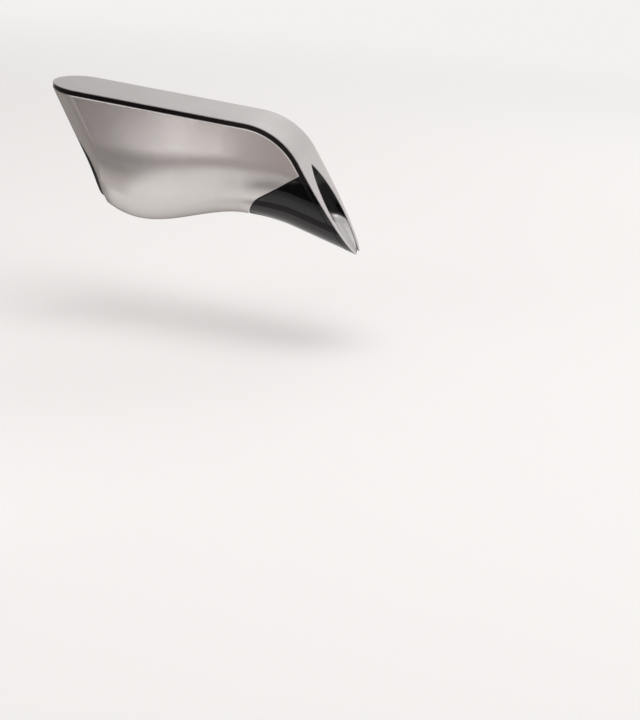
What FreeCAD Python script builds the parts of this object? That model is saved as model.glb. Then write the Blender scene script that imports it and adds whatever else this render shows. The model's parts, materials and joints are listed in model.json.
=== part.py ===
"""Pour-through wine aerator that plugs onto the neck of a bottle.

Frame: +X runs along the bottle's neck towards the spout, +Z is up on the cover's side and Y runs
across, with the object symmetric about Y = 0. The origin is the centre of the bottle's mouth plane.
"""
import FreeCAD, Part
import math
import os

import Sketcher

V = FreeCAD.Vector

# ---------------------------------------------------------------- driving dimensions (mm, degrees)
DIMENSIONS = [
    ("body_width", 44.0, "across the cover, the frame and the shell"),
    ("cover_rise", 31.8, "cover's face above the neck's axis at the mouth plane"),
    ("cover_slope", 4.05, "fall of the flat cover towards the spout"),
    ("bend_station", 65.6, "where the flat and the front face would meet"),
    ("bend_radius", 35.0, "bend between the flat and the front face"),
    ("front_slope", 56.56, "fall of the front face"),
    ("reach_back", 46.7, "mouth plane to the rear end"),
    ("rear_round", 15.0, "depth of the half ellipse at the rear end"),
    ("rear_slope", 60.0, "slant of the rear wall"),
    ("face_rise", 8.23, "height of the widest point of the front face's rounded end"),
    ("face_length", 46.5, "from that point to the sharp end of the front face"),
    ("tip_trim", 1.5, "how much of the sharp end is cut off"),
    ("spout_slope", 17.7, "fall of the spout's underside"),
    ("belly_station", 1.8, "where the belly is deepest"),
    ("belly_depth", 25.5, "belly's deepest point below the axis"),
    ("belly_radius", 32.6, "belly's rear curve"),
    ("waist_station", 48.0, "where the waist is highest"),
    ("waist_depth", 16.6, "waist's underside below the axis"),
    ("beak_station", 72.0, "where the underside turns straight"),
    ("side_rise", 14.0, "height where the straight sides end at the neck"),
    ("belly_fullness", 2.3, "power of the belly's rounded section"),
    ("cover_wall", 0.4, "cover"),
    ("band_height", 1.9, "height of the black frame's visible band"),
    ("band_gap", 0.2, "shadow gap under the band"),
    ("frame_wall", 2.0, "black frame's rim"),
    ("frame_deck", 0.8, "black frame's deck under the cover"),
    ("mouth_collar", 1.6, "black frame's wall round the mouth"),
    ("shell_wall", 1.6, "metal shell"),
    ("spout_wall", 1.8, "spout body"),
    ("joint_gap", 0.2, "shadow gap between shell and spout"),
    ("joint_station", 54.7, "corner of the line between shell and spout"),
    ("joint_depth", 8.0, "depth of that corner below the axis"),
    ("joint_rise", 35.3, "slope of the line above the corner"),
    ("joint_fall", 68.0, "slope of the line below the corner"),
    ("joint_round", 12.0, "radius at the corner"),
    ("leaf_radius", 28.2, "arcs that bound the leaf-shaped mouth"),
    ("leaf_centre", 22.7, "the arcs' centres, down the front face"),
    ("leaf_offset", 14.5, "the arcs' centres, across the front face"),
    ("leaf_play", 0.15, "clearance round the pouring lip"),
    ("chamber_depth", 10.0, "pouring chamber behind the front face"),
    ("bulkhead_station", 71.0, "rear of the solid nose"),
    ("lip_station", 28.0, "where the lip meets the front face, down the face"),
    ("lip_slope", 21.0, "slope of the lip inside the chamber"),
    ("lip_round", 12.0, "bend of the lip"),
    ("lip_recess", 0.3, "lip's face below the cover's face"),
    ("lip_wall", 2.8, "lip"),
    ("neck_bore", 15.6, "radius of the liner's bore"),
    ("liner_wall", 1.5, "liner"),
    ("liner_play", 0.12, "liner to shell"),
    ("liner_end_start", 3.9, "liner's end wall, inner face"),
    ("liner_end_wall", 1.8, "liner's end wall"),
    ("seal_radius", 9.4, "stopper's ribs"),
    ("seal_core", 8.2, "stopper between its ribs"),
    ("seal_length", 21.0, "stopper into the bottle's neck"),
    ("rib_pitch", 4.75, "rib to rib"),
    ("rib_land", 2.0, "flat of one rib"),
    ("rib_flank", 0.7, "slope beside a rib"),
    ("spigot_radius", 6.5, "spigot's outside"),
    ("wine_bore", 4.5, "radius of the wine's way"),
    ("spigot_tail", 3.0, "spigot beyond the seal"),
    ("spigot_nose", 12.0, "spigot's front end"),
    ("flange_radius", 14.2, "spigot's flange"),
    ("flange_wall", 1.8, "spigot's flange"),
    ("gasket_wall", 1.6, "ring that the bottle's lip seats on"),
    ("ring_section", 0.66, "radius of the O-ring's section"),
    ("ring_station", 9.4, "O-ring on the spigot"),
    ("socket_play", 0.1, "spigot in the duct's socket"),
    ("vent_radius", 1.0, "vent tube's outside"),
    ("vent_bore", 0.7, "vent tube's bore"),
    ("vent_tail", 28.0, "vent tube into the neck"),
    ("duct_wall", 1.5, "wine duct"),
    ("duct_seal_wall", 0.8, "flat seal behind the duct's flange"),
    ("duct_flange", 12.6, "radius of the duct's flange"),
    ("duct_flange_wall", 1.5, "duct's flange"),
    ("duct_screw_circle", 10.6, "screws in the duct's flange"),
    ("socket_depth", 7.6, "duct's socket for the spigot"),
    ("duct_bend", 66.7, "where the duct turns down"),
    ("duct_bend_radius", 18.0, "duct's bend"),
    ("duct_run", 10.5, "duct beyond its bend's corner"),
    ("injector_station", 58.0, "middle of the injector ring"),
    ("injector_length", 8.0, "injector ring"),
    ("injector_wall", 2.2, "injector ring"),
    ("plenum_length", 4.0, "air groove in the ring"),
    ("plenum_depth", 1.0, "air groove in the ring"),
    ("air_hole", 0.35, "radius of the duct's air holes"),
    ("valve_radius", 3.0, "check valve's housing"),
    ("valve_height", 3.6, "check valve's housing"),
    ("valve_seat", 8.4, "check valve's foot above the axis"),
    ("valve_wall", 0.6, "floor and roof of the check valve's housing"),
    ("valve_flange", 0.8, "duckbill's flange"),
    ("valve_room", 2.0, "radius inside the check valve's housing"),
    ("valve_foot_gap", 0.2, "injector's foot to the check valve's housing"),
    ("nipple_radius", 1.4, "air nipples"),
    ("nipple_bore", 0.7, "air nipples' bore"),
    ("nipple_length", 1.5, "air nipples"),
    ("hose_wall", 0.6, "air hose"),
    ("hose_gap", 0.1, "air hose to the check valve's housing"),
    ("hose_start_gap", 0.3, "air hose to the pump's cap"),
    ("hose_straight", 0.9, "air hose's straight end on the check valve"),
    ("fit_play", 0.02, "soft pieces on what they are pushed over"),
    ("motor_rise", 16.4, "motor's axis above the neck's axis"),
    ("motor_radius", 7.0, "motor's can"),
    ("can_wall", 0.6, "motor's can"),
    ("motor_start", 12.0, "rear of the can"),
    ("motor_length", 18.0, "can"),
    ("bell_wall", 1.5, "end bell"),
    ("bell_spigot", 0.6, "end bell into the can"),
    ("shaft_radius", 0.75, "motor's shaft"),
    ("shaft_play", 0.03, "shaft in its bushes"),
    ("bush_radius", 1.5, "bushes"),
    ("bush_length", 1.2, "bushes"),
    ("armature_radius", 4.9, "armature"),
    ("armature_length", 11.0, "armature"),
    ("armature_gap", 3.6, "rear of the can to the armature"),
    ("slot_width", 1.6, "armature's winding slots"),
    ("slot_floor", 2.4, "armature's winding slots off the axis"),
    ("magnet_radius", 5.2, "inside of the magnets"),
    ("commutator_radius", 1.9, "commutator"),
    ("commutator_length", 1.8, "commutator"),
    ("commutator_gap", 1.0, "rear of the can to the commutator"),
    ("magnet_overhang", 0.5, "magnets past the armature's ends"),
    ("brush_length", 1.2, "brushes along the shaft"),
    ("brush_depth", 1.6, "brushes across the shaft"),
    ("brush_height", 1.4, "brushes"),
    ("brush_gap", 0.05, "brushes to the commutator"),
    ("brush_setback", 1.2, "rear of the can to the brushes"),
    ("shaft_inset", 0.2, "shaft's rear end inside the end bell"),
    ("shaft_short", 0.5, "shaft's front end inside the eccentric"),
    ("pump_width", 17.0, "pump head, square"),
    ("pump_start", 30.2, "rear of the pump head"),
    ("pump_base_length", 8.3, "pump's base"),
    ("pump_base_wall", 1.5, "pump's base"),
    ("pump_cavity", 7.2, "radius inside the pump's base"),
    ("diaphragm_wall", 1.0, "diaphragm"),
    ("cup_radius", 2.5, "diaphragm's cups"),
    ("cup_height", 1.5, "diaphragm's cups"),
    ("cup_circle", 4.2, "cups and lugs about the motor's axis"),
    ("chamber_play", 0.4, "cup in its chamber"),
    ("chamber_end_play", 0.7, "cup's end to its chamber's floor"),
    ("valve_plate_wall", 3.5, "valve plate"),
    ("flap_wall", 0.4, "valve flaps"),
    ("cap_length", 4.0, "pump's cap"),
    ("cap_wall", 1.5, "pump's cap"),
    ("cap_ledge", 0.6, "pump's cap inside the base's cavity"),
    ("flap_ledge", 1.0, "valve flaps inside the base's cavity"),
    ("bush_play", 0.1, "pump's base round the front bush"),
    ("hub_radius", 3.2, "eccentric"),
    ("hub_length", 3.0, "eccentric"),
    ("hub_gap", 0.6, "eccentric to the pump's base"),
    ("pin_radius", 0.6, "eccentric's pin"),
    ("pin_throw", 1.3, "eccentric's pin off the axis"),
    ("pin_length", 2.2, "eccentric's pin"),
    ("pin_play", 0.4, "room round the pin's path"),
    ("yoke_radius", 6.4, "wobble yoke"),
    ("yoke_wall", 1.8, "wobble yoke"),
    ("yoke_gap", 0.2, "wobble yoke to the diaphragm"),
    ("lug_radius", 1.0, "yoke's lugs"),
    ("screw_radius", 0.7, "all screws"),
    ("screw_head", 1.3, "all screws"),
    ("screw_head_wall", 0.9, "all screws"),
    ("hole_play", 0.06, "screws in their holes"),
    ("screw_reach", 4.0, "inner frame's screws into the bosses"),
    ("screw_room", 5.0, "depth of the bosses' holes"),
    ("duct_screw_short", 0.2, "duct's screws inside the liner's end wall"),
    ("corner_inset", 1.5, "pump's screws from its sides"),
    ("cradle_length", 12.0, "motor's cradle"),
    ("cradle_width", 26.0, "motor's cradle"),
    ("cradle_floor", 1.2, "motor's cradle under the can"),
    ("cradle_setback", 3.0, "rear of the can to the cradle"),
    ("deck_length", 77.0, "inner frame"),
    ("deck_back", 27.0, "inner frame behind the mouth plane"),
    ("deck_play", 1.4, "inner frame to the shell's sides"),
    ("deck_gap", 0.05, "inner frame above the liner"),
    ("deck_wall", 1.2, "inner frame"),
    ("window_width", 22.4, "motor's window in the inner frame"),
    ("window_start", 9.6, "motor's window in the inner frame"),
    ("post_radius", 1.3, "posts under the board"),
    ("post_play", 0.2, "rear posts to the battery, front posts to the board's end"),
    ("boss_radius", 2.2, "black frame's bosses"),
    ("boss_inset", 5.5, "bosses from the body's sides"),
    ("boss_rear_margin", 9.0, "rear bosses from the inner frame's rear end"),
    ("boss_front_margin", 6.0, "front bosses from the inner frame's front end"),
    ("pad_wall", 0.7, "foam pad under the battery"),
    ("battery_length", 30.0, "battery"),
    ("battery_back", 24.0, "battery behind the mouth plane"),
    ("battery_width", 20.0, "battery"),
    ("battery_height", 6.0, "battery"),
    ("board_rise", 26.0, "board's underside"),
    ("board_wall", 0.8, "board"),
    ("board_back", 37.0, "board behind the mouth plane"),
    ("board_length", 66.0, "board"),
    ("board_width", 24.0, "board"),
    ("controller_side", 7.0, "controller chip, square"),
    ("controller_back", 14.0, "controller chip behind the mouth plane"),
    ("driver_side", 4.0, "charger and driver chips, square"),
    ("driver_back", 2.0, "charger and driver chips behind the mouth plane"),
    ("driver_off", 2.0, "charger and driver chips off the middle plane"),
    ("chip_height", 0.9, "chips and tilt sensor"),
    ("sensor_side", 3.0, "tilt sensor, square"),
    ("sensor_station", 8.0, "tilt sensor's rear edge"),
    ("light_side", 1.6, "status light, square"),
    ("light_back", 24.0, "status light behind the mouth plane"),
    ("light_height", 0.7, "status light"),
    ("socket_width", 8.9, "charging socket"),
    ("socket_height", 3.2, "charging socket"),
    ("socket_length", 7.4, "charging socket"),
    ("socket_back", 41.0, "charging socket's mouth behind the mouth plane"),
    ("socket_wall", 0.3, "charging socket's metal shell"),
    ("tongue_foot", 0.85, "room under the charging socket's tongue"),
    ("tongue_wall", 0.7, "charging socket's tongue"),
    ("port_play", 0.25, "shell round the charging socket"),
    ("foil_wall", 0.2, "touch foil"),
    ("foil_length", 34.0, "touch foil"),
    ("foil_width", 22.0, "touch foil"),
    ("foil_back", 4.0, "touch foil behind the mouth plane"),
    ("lead_radius", 0.45, "leads"),
    ("lead_bend", 1.5, "leads"),
    ("lead_side", 3.0, "leads off the middle plane"),
    ("lead_rise", 4.0, "motor's leads above its axis"),
    ("lead_reach", 3.4, "battery's leads behind the battery"),
]

# sizes that follow from the ones above
TIED = [
    ("deck_width", "body_width - 2 * (shell_wall + deck_play)", "inner frame"),
    ("boss_side", "body_width / 2 - boss_inset", "bosses off the middle plane"),
    ("boss_back", "deck_back - boss_rear_margin", "rear bosses behind the mouth plane"),
    ("boss_front", "deck_length - deck_back - boss_front_margin", "front bosses"),
    ("hose_bend", "motor_rise - valve_seat - valve_height - hose_gap - hose_straight", "air hose's bend"),
]

# shares of a size, and angles
GROOVE_DEPTH_SHARE = 1.9
GROOVE_HALF_SHARE = 1.15
RING_SINK_SHARE = 0.9
SOCKET_SHARE = 0.7
HALF_TURN = 180.0
DIGITS = 6
MAGNET_START = 30.0
MAGNET_SPAN = 120.0
AIR_HOLES = 8
AIR_HOLE_TURN = 22.5


class Size:
    """A length that knows its value and the spreadsheet expression it comes from."""

    def __init__(self, value, text):
        self.value = value
        self.text = text

    def _join(self, other, sign, value):
        text = other.text if isinstance(other, Size) else repr(other)
        return Size(value, f"({self.text} {sign} {text})")

    def __add__(self, other):
        return self._join(other, "+", self.value + number(other))

    def __sub__(self, other):
        return self._join(other, "-", self.value - number(other))

    def __mul__(self, other):
        return self._join(other, "*", self.value * number(other))

    def __truediv__(self, other):
        return self._join(other, "/", self.value / number(other))

    def __neg__(self):
        return Size(-self.value, f"(0 - {self.text})")


def number(size):
    """The plain number in a Size, or the number itself."""
    return size.value if isinstance(size, Size) else size


def size_of(item):
    """A Size for a plain number, so that both kinds can drive a sketch."""
    return item if isinstance(item, Size) else Size(float(item), repr(float(item)))


doc = FreeCAD.newDocument("WineAerator")
sheet = doc.addObject("Spreadsheet::Sheet", "Sizes")
for row, (alias, value, note) in enumerate(DIMENSIONS, start=1):
    sheet.set(f"A{row}", alias)
    sheet.set(f"B{row}", str(value))
    sheet.set(f"C{row}", note)
    sheet.setAlias(f"B{row}", alias)
for row, (alias, formula, note) in enumerate(TIED, start=len(DIMENSIONS) + 1):
    sheet.set(f"A{row}", alias)
    sheet.set(f"B{row}", f"={formula}")
    sheet.set(f"C{row}", note)
    sheet.setAlias(f"B{row}", alias)
doc.recompute()
N = {alias: float(sheet.get(alias)) for alias, source, note in DIMENSIONS + TIED}
S = {alias: Size(value, f"Sizes.{alias}") for alias, value in N.items()}

PARTS = []
OVERRUN = 1.0
LEAST_CUT = 1e-6
TUBE_TOLERANCE = 0.02


# ---------------------------------------------------------------- building helpers
def publish(item, label):
    """Give a finished object its label and list it among the pieces to write."""
    item.Label = label
    PARTS.append(item)
    return item


def origin_part(body, role):
    """One of a body's own origin planes or axes."""
    for feature in body.Origin.OriginFeatures:
        if feature.Role == role:
            return feature
    raise ValueError(f"{body.Label} has no {role}")


def new_sketch(body, role, offset=None):
    """A sketch on one of the body's origin planes, moved along the plane's normal by offset."""
    sketch = body.newObject("Sketcher::SketchObject", "Sketch")
    sketch.AttachmentSupport = [(origin_part(body, role), "")]
    sketch.MapMode = "FlatFace"
    if offset is not None:
        sketch.setExpression("AttachmentOffset.Base.z", size_of(offset).text)
    return sketch


def pin_point(sketch, index, point, x, y):
    """Hold one point of the sketch's geometry at x, y from the sketch's origin."""
    for kind, size in (("DistanceX", x), ("DistanceY", y)):
        place = sketch.addConstraint(Sketcher.Constraint(kind, index, point, size_of(size).value))
        sketch.setExpression(f"Constraints[{place}]", size_of(size).text)


def add_polygon(sketch, corners):
    """Close a polygon through corners, each corner driven by its two sizes."""
    first = sketch.GeometryCount
    points = [V(number(x), number(y), 0) for x, y in corners]
    for index, point in enumerate(points):
        sketch.addGeometry(Part.LineSegment(point, points[(index + 1) % len(points)]))
    for index, (x, y) in enumerate(corners):
        after = first + (index + 1) % len(corners)
        sketch.addConstraint(Sketcher.Constraint("Coincident", first + index, 2, after, 1))
        pin_point(sketch, first + index, 1, x, y)


def add_circle(sketch, x, y, radius):
    """Add a circle whose centre and radius are driven."""
    radius = size_of(radius)
    index = sketch.addGeometry(Part.Circle(V(number(x), number(y), 0), V(0, 0, 1), radius.value))
    pin_point(sketch, index, 3, x, y)
    place = sketch.addConstraint(Sketcher.Constraint("Radius", index, radius.value))
    sketch.setExpression(f"Constraints[{place}]", radius.text)


def rectangle(x, y, length, width):
    """Corners of a rectangle from its low corner and its two sides."""
    x = size_of(x)
    y = size_of(y)
    return [(x, y), (x + length, y), (x + length, y + width), (x, y + width)]


def new_body(label):
    """An empty body that will hold one piece."""
    body = doc.addObject("PartDesign::Body", label)
    return body


def revolved(label, corners, rise=None):
    """A turned piece: the profile (along X, out from the axis) is turned about the X axis."""
    body = new_body(label)
    sketch = new_sketch(body, "XZ_Plane")
    add_polygon(sketch, corners)
    turn = body.newObject("PartDesign::Revolution", "Turn")
    turn.Profile = sketch
    turn.ReferenceAxis = (sketch, ["H_Axis"])
    turn.Angle = 360.0
    sketch.Visibility = False
    if rise is not None:
        body.setExpression("Placement.Base.z", size_of(rise).text)
    return publish(body, label)


def pad(body, role, draw, length, offset=None):
    """Pad what draw puts in a new sketch; the YZ plane pads towards +X and the XY plane towards +Z."""
    sketch = new_sketch(body, role, offset)
    draw(sketch)
    feature = body.newObject("PartDesign::Pad", "Pad")
    feature.Profile = sketch
    feature.setExpression("Length", size_of(length).text)
    sketch.Visibility = False
    doc.recompute()
    return feature


def pocket(body, role, draw, length, offset=None):
    """Cut what draw puts in a new sketch along the plane's normal, and make sure that it cuts."""
    before = body.Shape.Volume
    sketch = new_sketch(body, role, offset)
    draw(sketch)
    feature = body.newObject("PartDesign::Pocket", "Pocket")
    feature.Profile = sketch
    feature.setExpression("Length", size_of(length).text)
    feature.Reversed = True
    sketch.Visibility = False
    doc.recompute()
    if body.Shape.Volume > before - LEAST_CUT:
        raise ValueError(f"a pocket in {body.Label} cuts nothing")
    return feature


def block(label, x, y, z, length, width, height):
    """A plain block from its low corner and its three sides."""
    box = doc.addObject("Part::Box", label)
    for name, size in (("Length", length), ("Width", width), ("Height", height)):
        box.setExpression(name, size_of(size).text)
    for axis, size in (("x", x), ("y", y), ("z", z)):
        box.setExpression(f"Placement.Base.{axis}", size_of(size).text)
    return publish(box, label)


def solid_part(label, shape):
    """A piece whose sculpted shape the code works out from the sheet's sizes."""
    feature = doc.addObject("Part::Feature", label)
    feature.Shape = shape
    feature.Placement = FreeCAD.Placement()
    return publish(feature, label)


def single(shape):
    """The one solid of a boolean's result, or a compound of its solids."""
    solids = shape.Solids
    return solids[0] if len(solids) == 1 else Part.makeCompound(solids)


def tube_along(points, radius, bend):
    """A round solid along straight runs in one plane, with each corner rounded to the bend radius."""
    edges = []
    start = points[0]
    for before, corner, after in zip(points, points[1:], points[2:]):
        arrive = (corner - before).normalize()
        leave = (after - corner).normalize()
        half_turn = arrive.getAngle(leave) / 2
        setback = bend * math.tan(half_turn)
        entry = corner - arrive * setback
        leaving = corner + leave * setback
        inward = (leave - arrive).normalize()
        middle = corner + inward * (bend / math.cos(half_turn) - bend)
        edges.append(Part.LineSegment(start, entry).toShape())
        edges.append(Part.Arc(entry, middle, leaving).toShape())
        start = leaving
    edges.append(Part.LineSegment(start, points[-1]).toShape())
    path = Part.Wire(edges)
    heading = (points[1] - points[0]).normalize()
    ring = Part.Wire([Part.Circle(points[0], heading, radius).toShape()])
    tube = path.makePipeShell([ring], True, False)
    expected = math.pi * radius ** 2 * path.Length
    if abs(tube.Volume - expected) > TUBE_TOLERANCE * expected:
        raise ValueError("a tube's volume isn't its section times its length")
    return tube


# ---------------------------------------------------------------- outer form
HALF_WIDTH = N["body_width"] / 2
ACROSS = N["body_width"]
FAR = 160.0
HULL_BACK = -56.0
HULL_FRONT = 112.0
HULL_TOP = 42.0
STATION_PITCH = 4.2
GIRTH_PITCH = 4.0
GIRTH_SHARE = 1.25
BEAK_FULLNESS = 2.0
STEEPEST_SHARE = 0.9
LEAST_ROUND = 1.0
EDGE_TOLERANCE = 0.1
PRISM_PLAY = 0.05
SHELL_TOP = N["cover_wall"] + N["band_height"] + N["band_gap"]
REAR_SEAM = N["cover_rise"] + N["reach_back"] * math.tan(math.radians(N["cover_slope"])) - SHELL_TOP
TIP_DOWN = N["face_length"] - N["tip_trim"]


def direction(degrees):
    """Unit vector in the XZ plane that falls by so many degrees towards +X."""
    angle = math.radians(degrees)
    return V(math.cos(angle), 0, -math.sin(angle))


def inward(degrees):
    """Unit vector at right angles to direction(), pointing into the body."""
    heading = direction(degrees)
    return V(heading.z, 0, -heading.x)


class BentLine:
    """Two straight lines in the XZ plane joined by an arc, and lines parallel to them further in."""

    def __init__(self, corner, slope_in, slope_out, radius):
        self.corner = corner
        self.slope_in = slope_in
        self.slope_out = slope_out
        self.radius = radius
        self.turn = math.radians(abs(slope_out - slope_in)) / 2
        self.sign = 1.0 if slope_out > slope_in else -1.0

    def corner_at(self, depth):
        """Where the two lines meet, depth further in."""
        first = inward(self.slope_in)
        second = inward(self.slope_out)
        return self.corner + (first + second) * (depth / (1 + first.dot(second)))

    def edges(self, depth):
        """Edges of the line at a depth, from far before the corner to far beyond it."""
        corner = self.corner_at(depth)
        radius = self.radius - self.sign * depth
        setback = radius * math.tan(self.turn)
        arrive = direction(self.slope_in)
        leave = direction(self.slope_out)
        entry = corner - arrive * setback
        leaving = corner + leave * setback
        bisector = (leave - arrive).normalize()
        middle = corner + bisector * (radius / math.cos(self.turn) - radius)
        return [
            Part.LineSegment(corner - arrive * FAR, entry).toShape(),
            Part.Arc(entry, middle, leaving).toShape(),
            Part.LineSegment(leaving, corner + leave * FAR).toShape(),
        ]

    def ends(self, depth):
        """The two end points of the line at a depth."""
        corner = self.corner_at(depth)
        return corner - direction(self.slope_in) * FAR, corner + direction(self.slope_out) * FAR

    def layer(self, depth, deeper):
        """A solid layer between two depths, right across the body."""
        start, end = self.ends(depth)
        inner_start, inner_end = self.ends(deeper)
        outline = self.edges(depth)
        outline.append(Part.LineSegment(end, inner_end).toShape())
        outline.extend(self.edges(deeper)[::-1])
        outline.append(Part.LineSegment(inner_start, start).toShape())
        return across(outline)

    def below(self, depth):
        """Everything under the line at a depth."""
        start, end = self.ends(depth)
        outline = self.edges(depth)
        foot = min(start.z, end.z) - FAR
        corner_out = V(end.x, 0, foot)
        corner_in = V(start.x, 0, foot)
        outline.append(Part.LineSegment(end, corner_out).toShape())
        outline.append(Part.LineSegment(corner_out, corner_in).toShape())
        outline.append(Part.LineSegment(corner_in, start).toShape())
        return across(outline)


def across(edges):
    """A solid made by running a closed outline of the XZ plane from side to side."""
    wire = Part.Wire(Part.sortEdges(edges)[0])
    face = Part.Face(wire)
    face.translate(V(0, -ACROSS, 0))
    return face.extrude(V(0, 2 * ACROSS, 0))


BEND_CORNER = V(N["bend_station"], 0,
                N["cover_rise"] - N["bend_station"] * math.tan(math.radians(N["cover_slope"])))
COVER_LINE = BentLine(BEND_CORNER, N["cover_slope"], N["front_slope"], N["bend_radius"])
FACE_DOWN = direction(N["front_slope"])
FACE_IN = inward(N["front_slope"])
FACE_CENTRE = BEND_CORNER + FACE_DOWN * ((BEND_CORNER.z - N["face_rise"]) / -FACE_DOWN.z)
SPOUT_FALL = math.tan(math.radians(N["spout_slope"]))
BEAK_HEIGHT = N["face_length"] * (-FACE_DOWN.z - FACE_DOWN.x * SPOUT_FALL)


def face_point(down, deep=0.0, side=0.0):
    """A point given by its distance down the front face, into it and across it."""
    return FACE_CENTRE + FACE_DOWN * down + FACE_IN * deep + V(0, side, 0)


def smooth(share):
    """An S-shaped ramp from 0 to 1, flat at both ends."""
    share = min(max(share, 0.0), 1.0)
    return share * share * (3 - 2 * share)


def glide(x, x0, z0, slope0, x1, z1, slope1):
    """Cubic from one point and slope to another."""
    run = x1 - x0
    t = (x - x0) / run
    start = (1 + 2 * t) * (1 - t) ** 2 * z0 + t * (1 - t) ** 2 * run * slope0
    finish = t * t * (3 - 2 * t) * z1 + t * t * (t - 1) * run * slope1
    return start + finish


def side_end(x):
    """Height at which the straight sides end and the rounded underside begins."""
    beak = FACE_CENTRE.z - (N["beak_station"] - FACE_CENTRE.x) * SPOUT_FALL
    if x <= 0:
        return N["side_rise"]
    if x < N["beak_station"]:
        return glide(x, 0.0, N["side_rise"], 0.0, N["beak_station"], beak, -SPOUT_FALL)
    return FACE_CENTRE.z - (x - FACE_CENTRE.x) * SPOUT_FALL


def underside(x):
    """Height of the underside on the middle plane."""
    belly = -N["belly_depth"]
    waist = -N["waist_depth"]
    if x <= N["belly_station"]:
        radius = N["belly_radius"]
        steepest = STEEPEST_SHARE * radius
        run = min(N["belly_station"] - x, steepest)
        rest = N["belly_station"] - x - run
        slope = run / math.sqrt(radius ** 2 - run ** 2)
        return belly + radius - math.sqrt(radius ** 2 - run ** 2) + rest * slope
    if x < N["waist_station"]:
        run = N["waist_station"] - N["belly_station"]
        return belly + (waist - belly) * smooth((x - N["belly_station"]) / run)
    if x < N["beak_station"]:
        beak = side_end(N["beak_station"]) - BEAK_HEIGHT
        return glide(x, N["waist_station"], waist, 0.0, N["beak_station"], beak, -SPOUT_FALL)
    return side_end(x) - BEAK_HEIGHT


def fullness(x):
    """Power of the rounded section: 2 is an ellipse, more is fuller."""
    run = N["beak_station"] - N["waist_station"]
    share = smooth((x - N["waist_station"]) / run)
    return N["belly_fullness"] + (BEAK_FULLNESS - N["belly_fullness"]) * share


def section(x, inset):
    """Points of one section, from the top of one side round the underside to the other side."""
    half = HALF_WIDTH - inset
    knee = side_end(x)
    foot = min(underside(x) + inset, knee - LEAST_ROUND)
    power = 2 / fullness(x)
    sides = max(2, round((HULL_TOP - N["side_rise"]) / GIRTH_PITCH))
    arcs = round(GIRTH_SHARE * (HALF_WIDTH + N["belly_depth"]) / GIRTH_PITCH)
    right = [V(x, half, HULL_TOP + (knee - HULL_TOP) * step / sides) for step in range(sides)]
    for step in range(arcs):
        angle = math.pi / 2 * step / arcs
        right.append(V(x, half * math.cos(angle) ** power, knee + (foot - knee) * math.sin(angle) ** power))
    left = [V(point.x, -point.y, point.z) for point in reversed(right)]
    return right + [V(x, 0, foot)] + left


def hull(inset):
    """The body's outer form, inset from its surface, open-ended where other surfaces trim it."""
    count = round((HULL_FRONT - HULL_BACK) / STATION_PITCH)
    stations = [HULL_BACK + (HULL_FRONT - HULL_BACK) * index / count for index in range(count + 1)]
    rows = [section(x, inset) for x in stations]
    surface = Part.BSplineSurface()
    surface.interpolate(rows)
    skin = surface.toShape()
    first = [edge for edge in skin.Edges if edge.BoundBox.XMax < HULL_BACK + EDGE_TOLERANCE]
    last = [edge for edge in skin.Edges if edge.BoundBox.XMin > HULL_FRONT - EDGE_TOLERANCE]
    long_edges = [edge for edge in skin.Edges if edge.BoundBox.XLength > FAR]
    caps = []
    ties = []
    for rim, points in ((first, rows[0]), (last, rows[-1])):
        tie = Part.LineSegment(points[0], points[-1]).toShape()
        ties.append(tie)
        caps.append(Part.Face(Part.Wire(Part.sortEdges(rim + [tie])[0])))
    caps.append(Part.Face(Part.Wire(Part.sortEdges(long_edges + ties)[0])))
    shell = Part.Shell([skin] + caps)
    shell.sewShape()
    body = Part.Solid(shell)
    if body.Volume < 0:
        body.reverse()
    return body


def plan_prism(inset, slanted):
    """The rounded rear end: a half ellipse run straight down, or along the slanted rear wall."""
    slope = math.radians(N["rear_slope"])
    depth = N["rear_round"] - (inset / math.sin(slope) if slanted else inset)
    half = HALF_WIDTH - inset + PRISM_PLAY
    centre_x = N["rear_round"] - N["reach_back"]
    wide = ACROSS
    ellipse = Part.Ellipse(V(0, 0, 0), half, depth)
    ellipse.rotate(FreeCAD.Placement(V(0, 0, 0), FreeCAD.Rotation(V(0, 0, 1), 90)))
    ellipse.translate(V(centre_x, 0, 0))
    rear = Part.ArcOfEllipse(ellipse, 0.0, math.pi).toShape()
    corners = [V(centre_x, -half, 0), V(centre_x, -wide, 0), V(FAR, -wide, 0), V(FAR, wide, 0),
               V(centre_x, wide, 0), V(centre_x, half, 0)]
    sides = [Part.LineSegment(start, end).toShape() for start, end in zip(corners, corners[1:])]
    face = Part.Face(Part.Wire(Part.sortEdges([rear] + sides)[0]))
    run = direction(N["rear_slope"]) if slanted else V(0, 0, -1)
    face.translate(V(0, 0, REAR_SEAM) - run * wide)
    return face.extrude(run * (FAR + wide))


def keep_behind_tip(shape):
    """Cut off what reaches past the blunt end of the front face."""
    cutter = Part.makeBox(FAR, FAR, FAR, V(0, -FAR / 2, -FAR / 2))
    cutter.rotate(V(0, 0, 0), V(0, 1, 0), N["front_slope"])
    cutter.translate(face_point(TIP_DOWN))
    return shape.cut(cutter)


ENVELOPES = {}


def envelope(inset, slanted):
    """The hull trimmed by the rear end and the blunt tip, kept for reuse."""
    key = (round(inset, DIGITS), slanted)
    if key not in ENVELOPES:
        ENVELOPES[key] = hull(inset).common(keep_behind_tip(plan_prism(inset, slanted)))
    return ENVELOPES[key]


def leaf(play, depth, deeper):
    """The leaf-shaped mouth in the front face, from one depth to another, wider by play."""
    radius = N["leaf_radius"] + play
    reach = math.sqrt(radius ** 2 - N["leaf_offset"] ** 2)
    top = face_point(N["leaf_centre"] - reach, depth)
    bottom = face_point(N["leaf_centre"] + reach, depth)
    wide = radius - N["leaf_offset"]
    right = Part.Arc(top, face_point(N["leaf_centre"], depth, wide), bottom).toShape()
    left = Part.Arc(bottom, face_point(N["leaf_centre"], depth, -wide), top).toShape()
    return Part.Face(Part.Wire([right, left])).extrude(FACE_IN * (deeper - depth))


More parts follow.
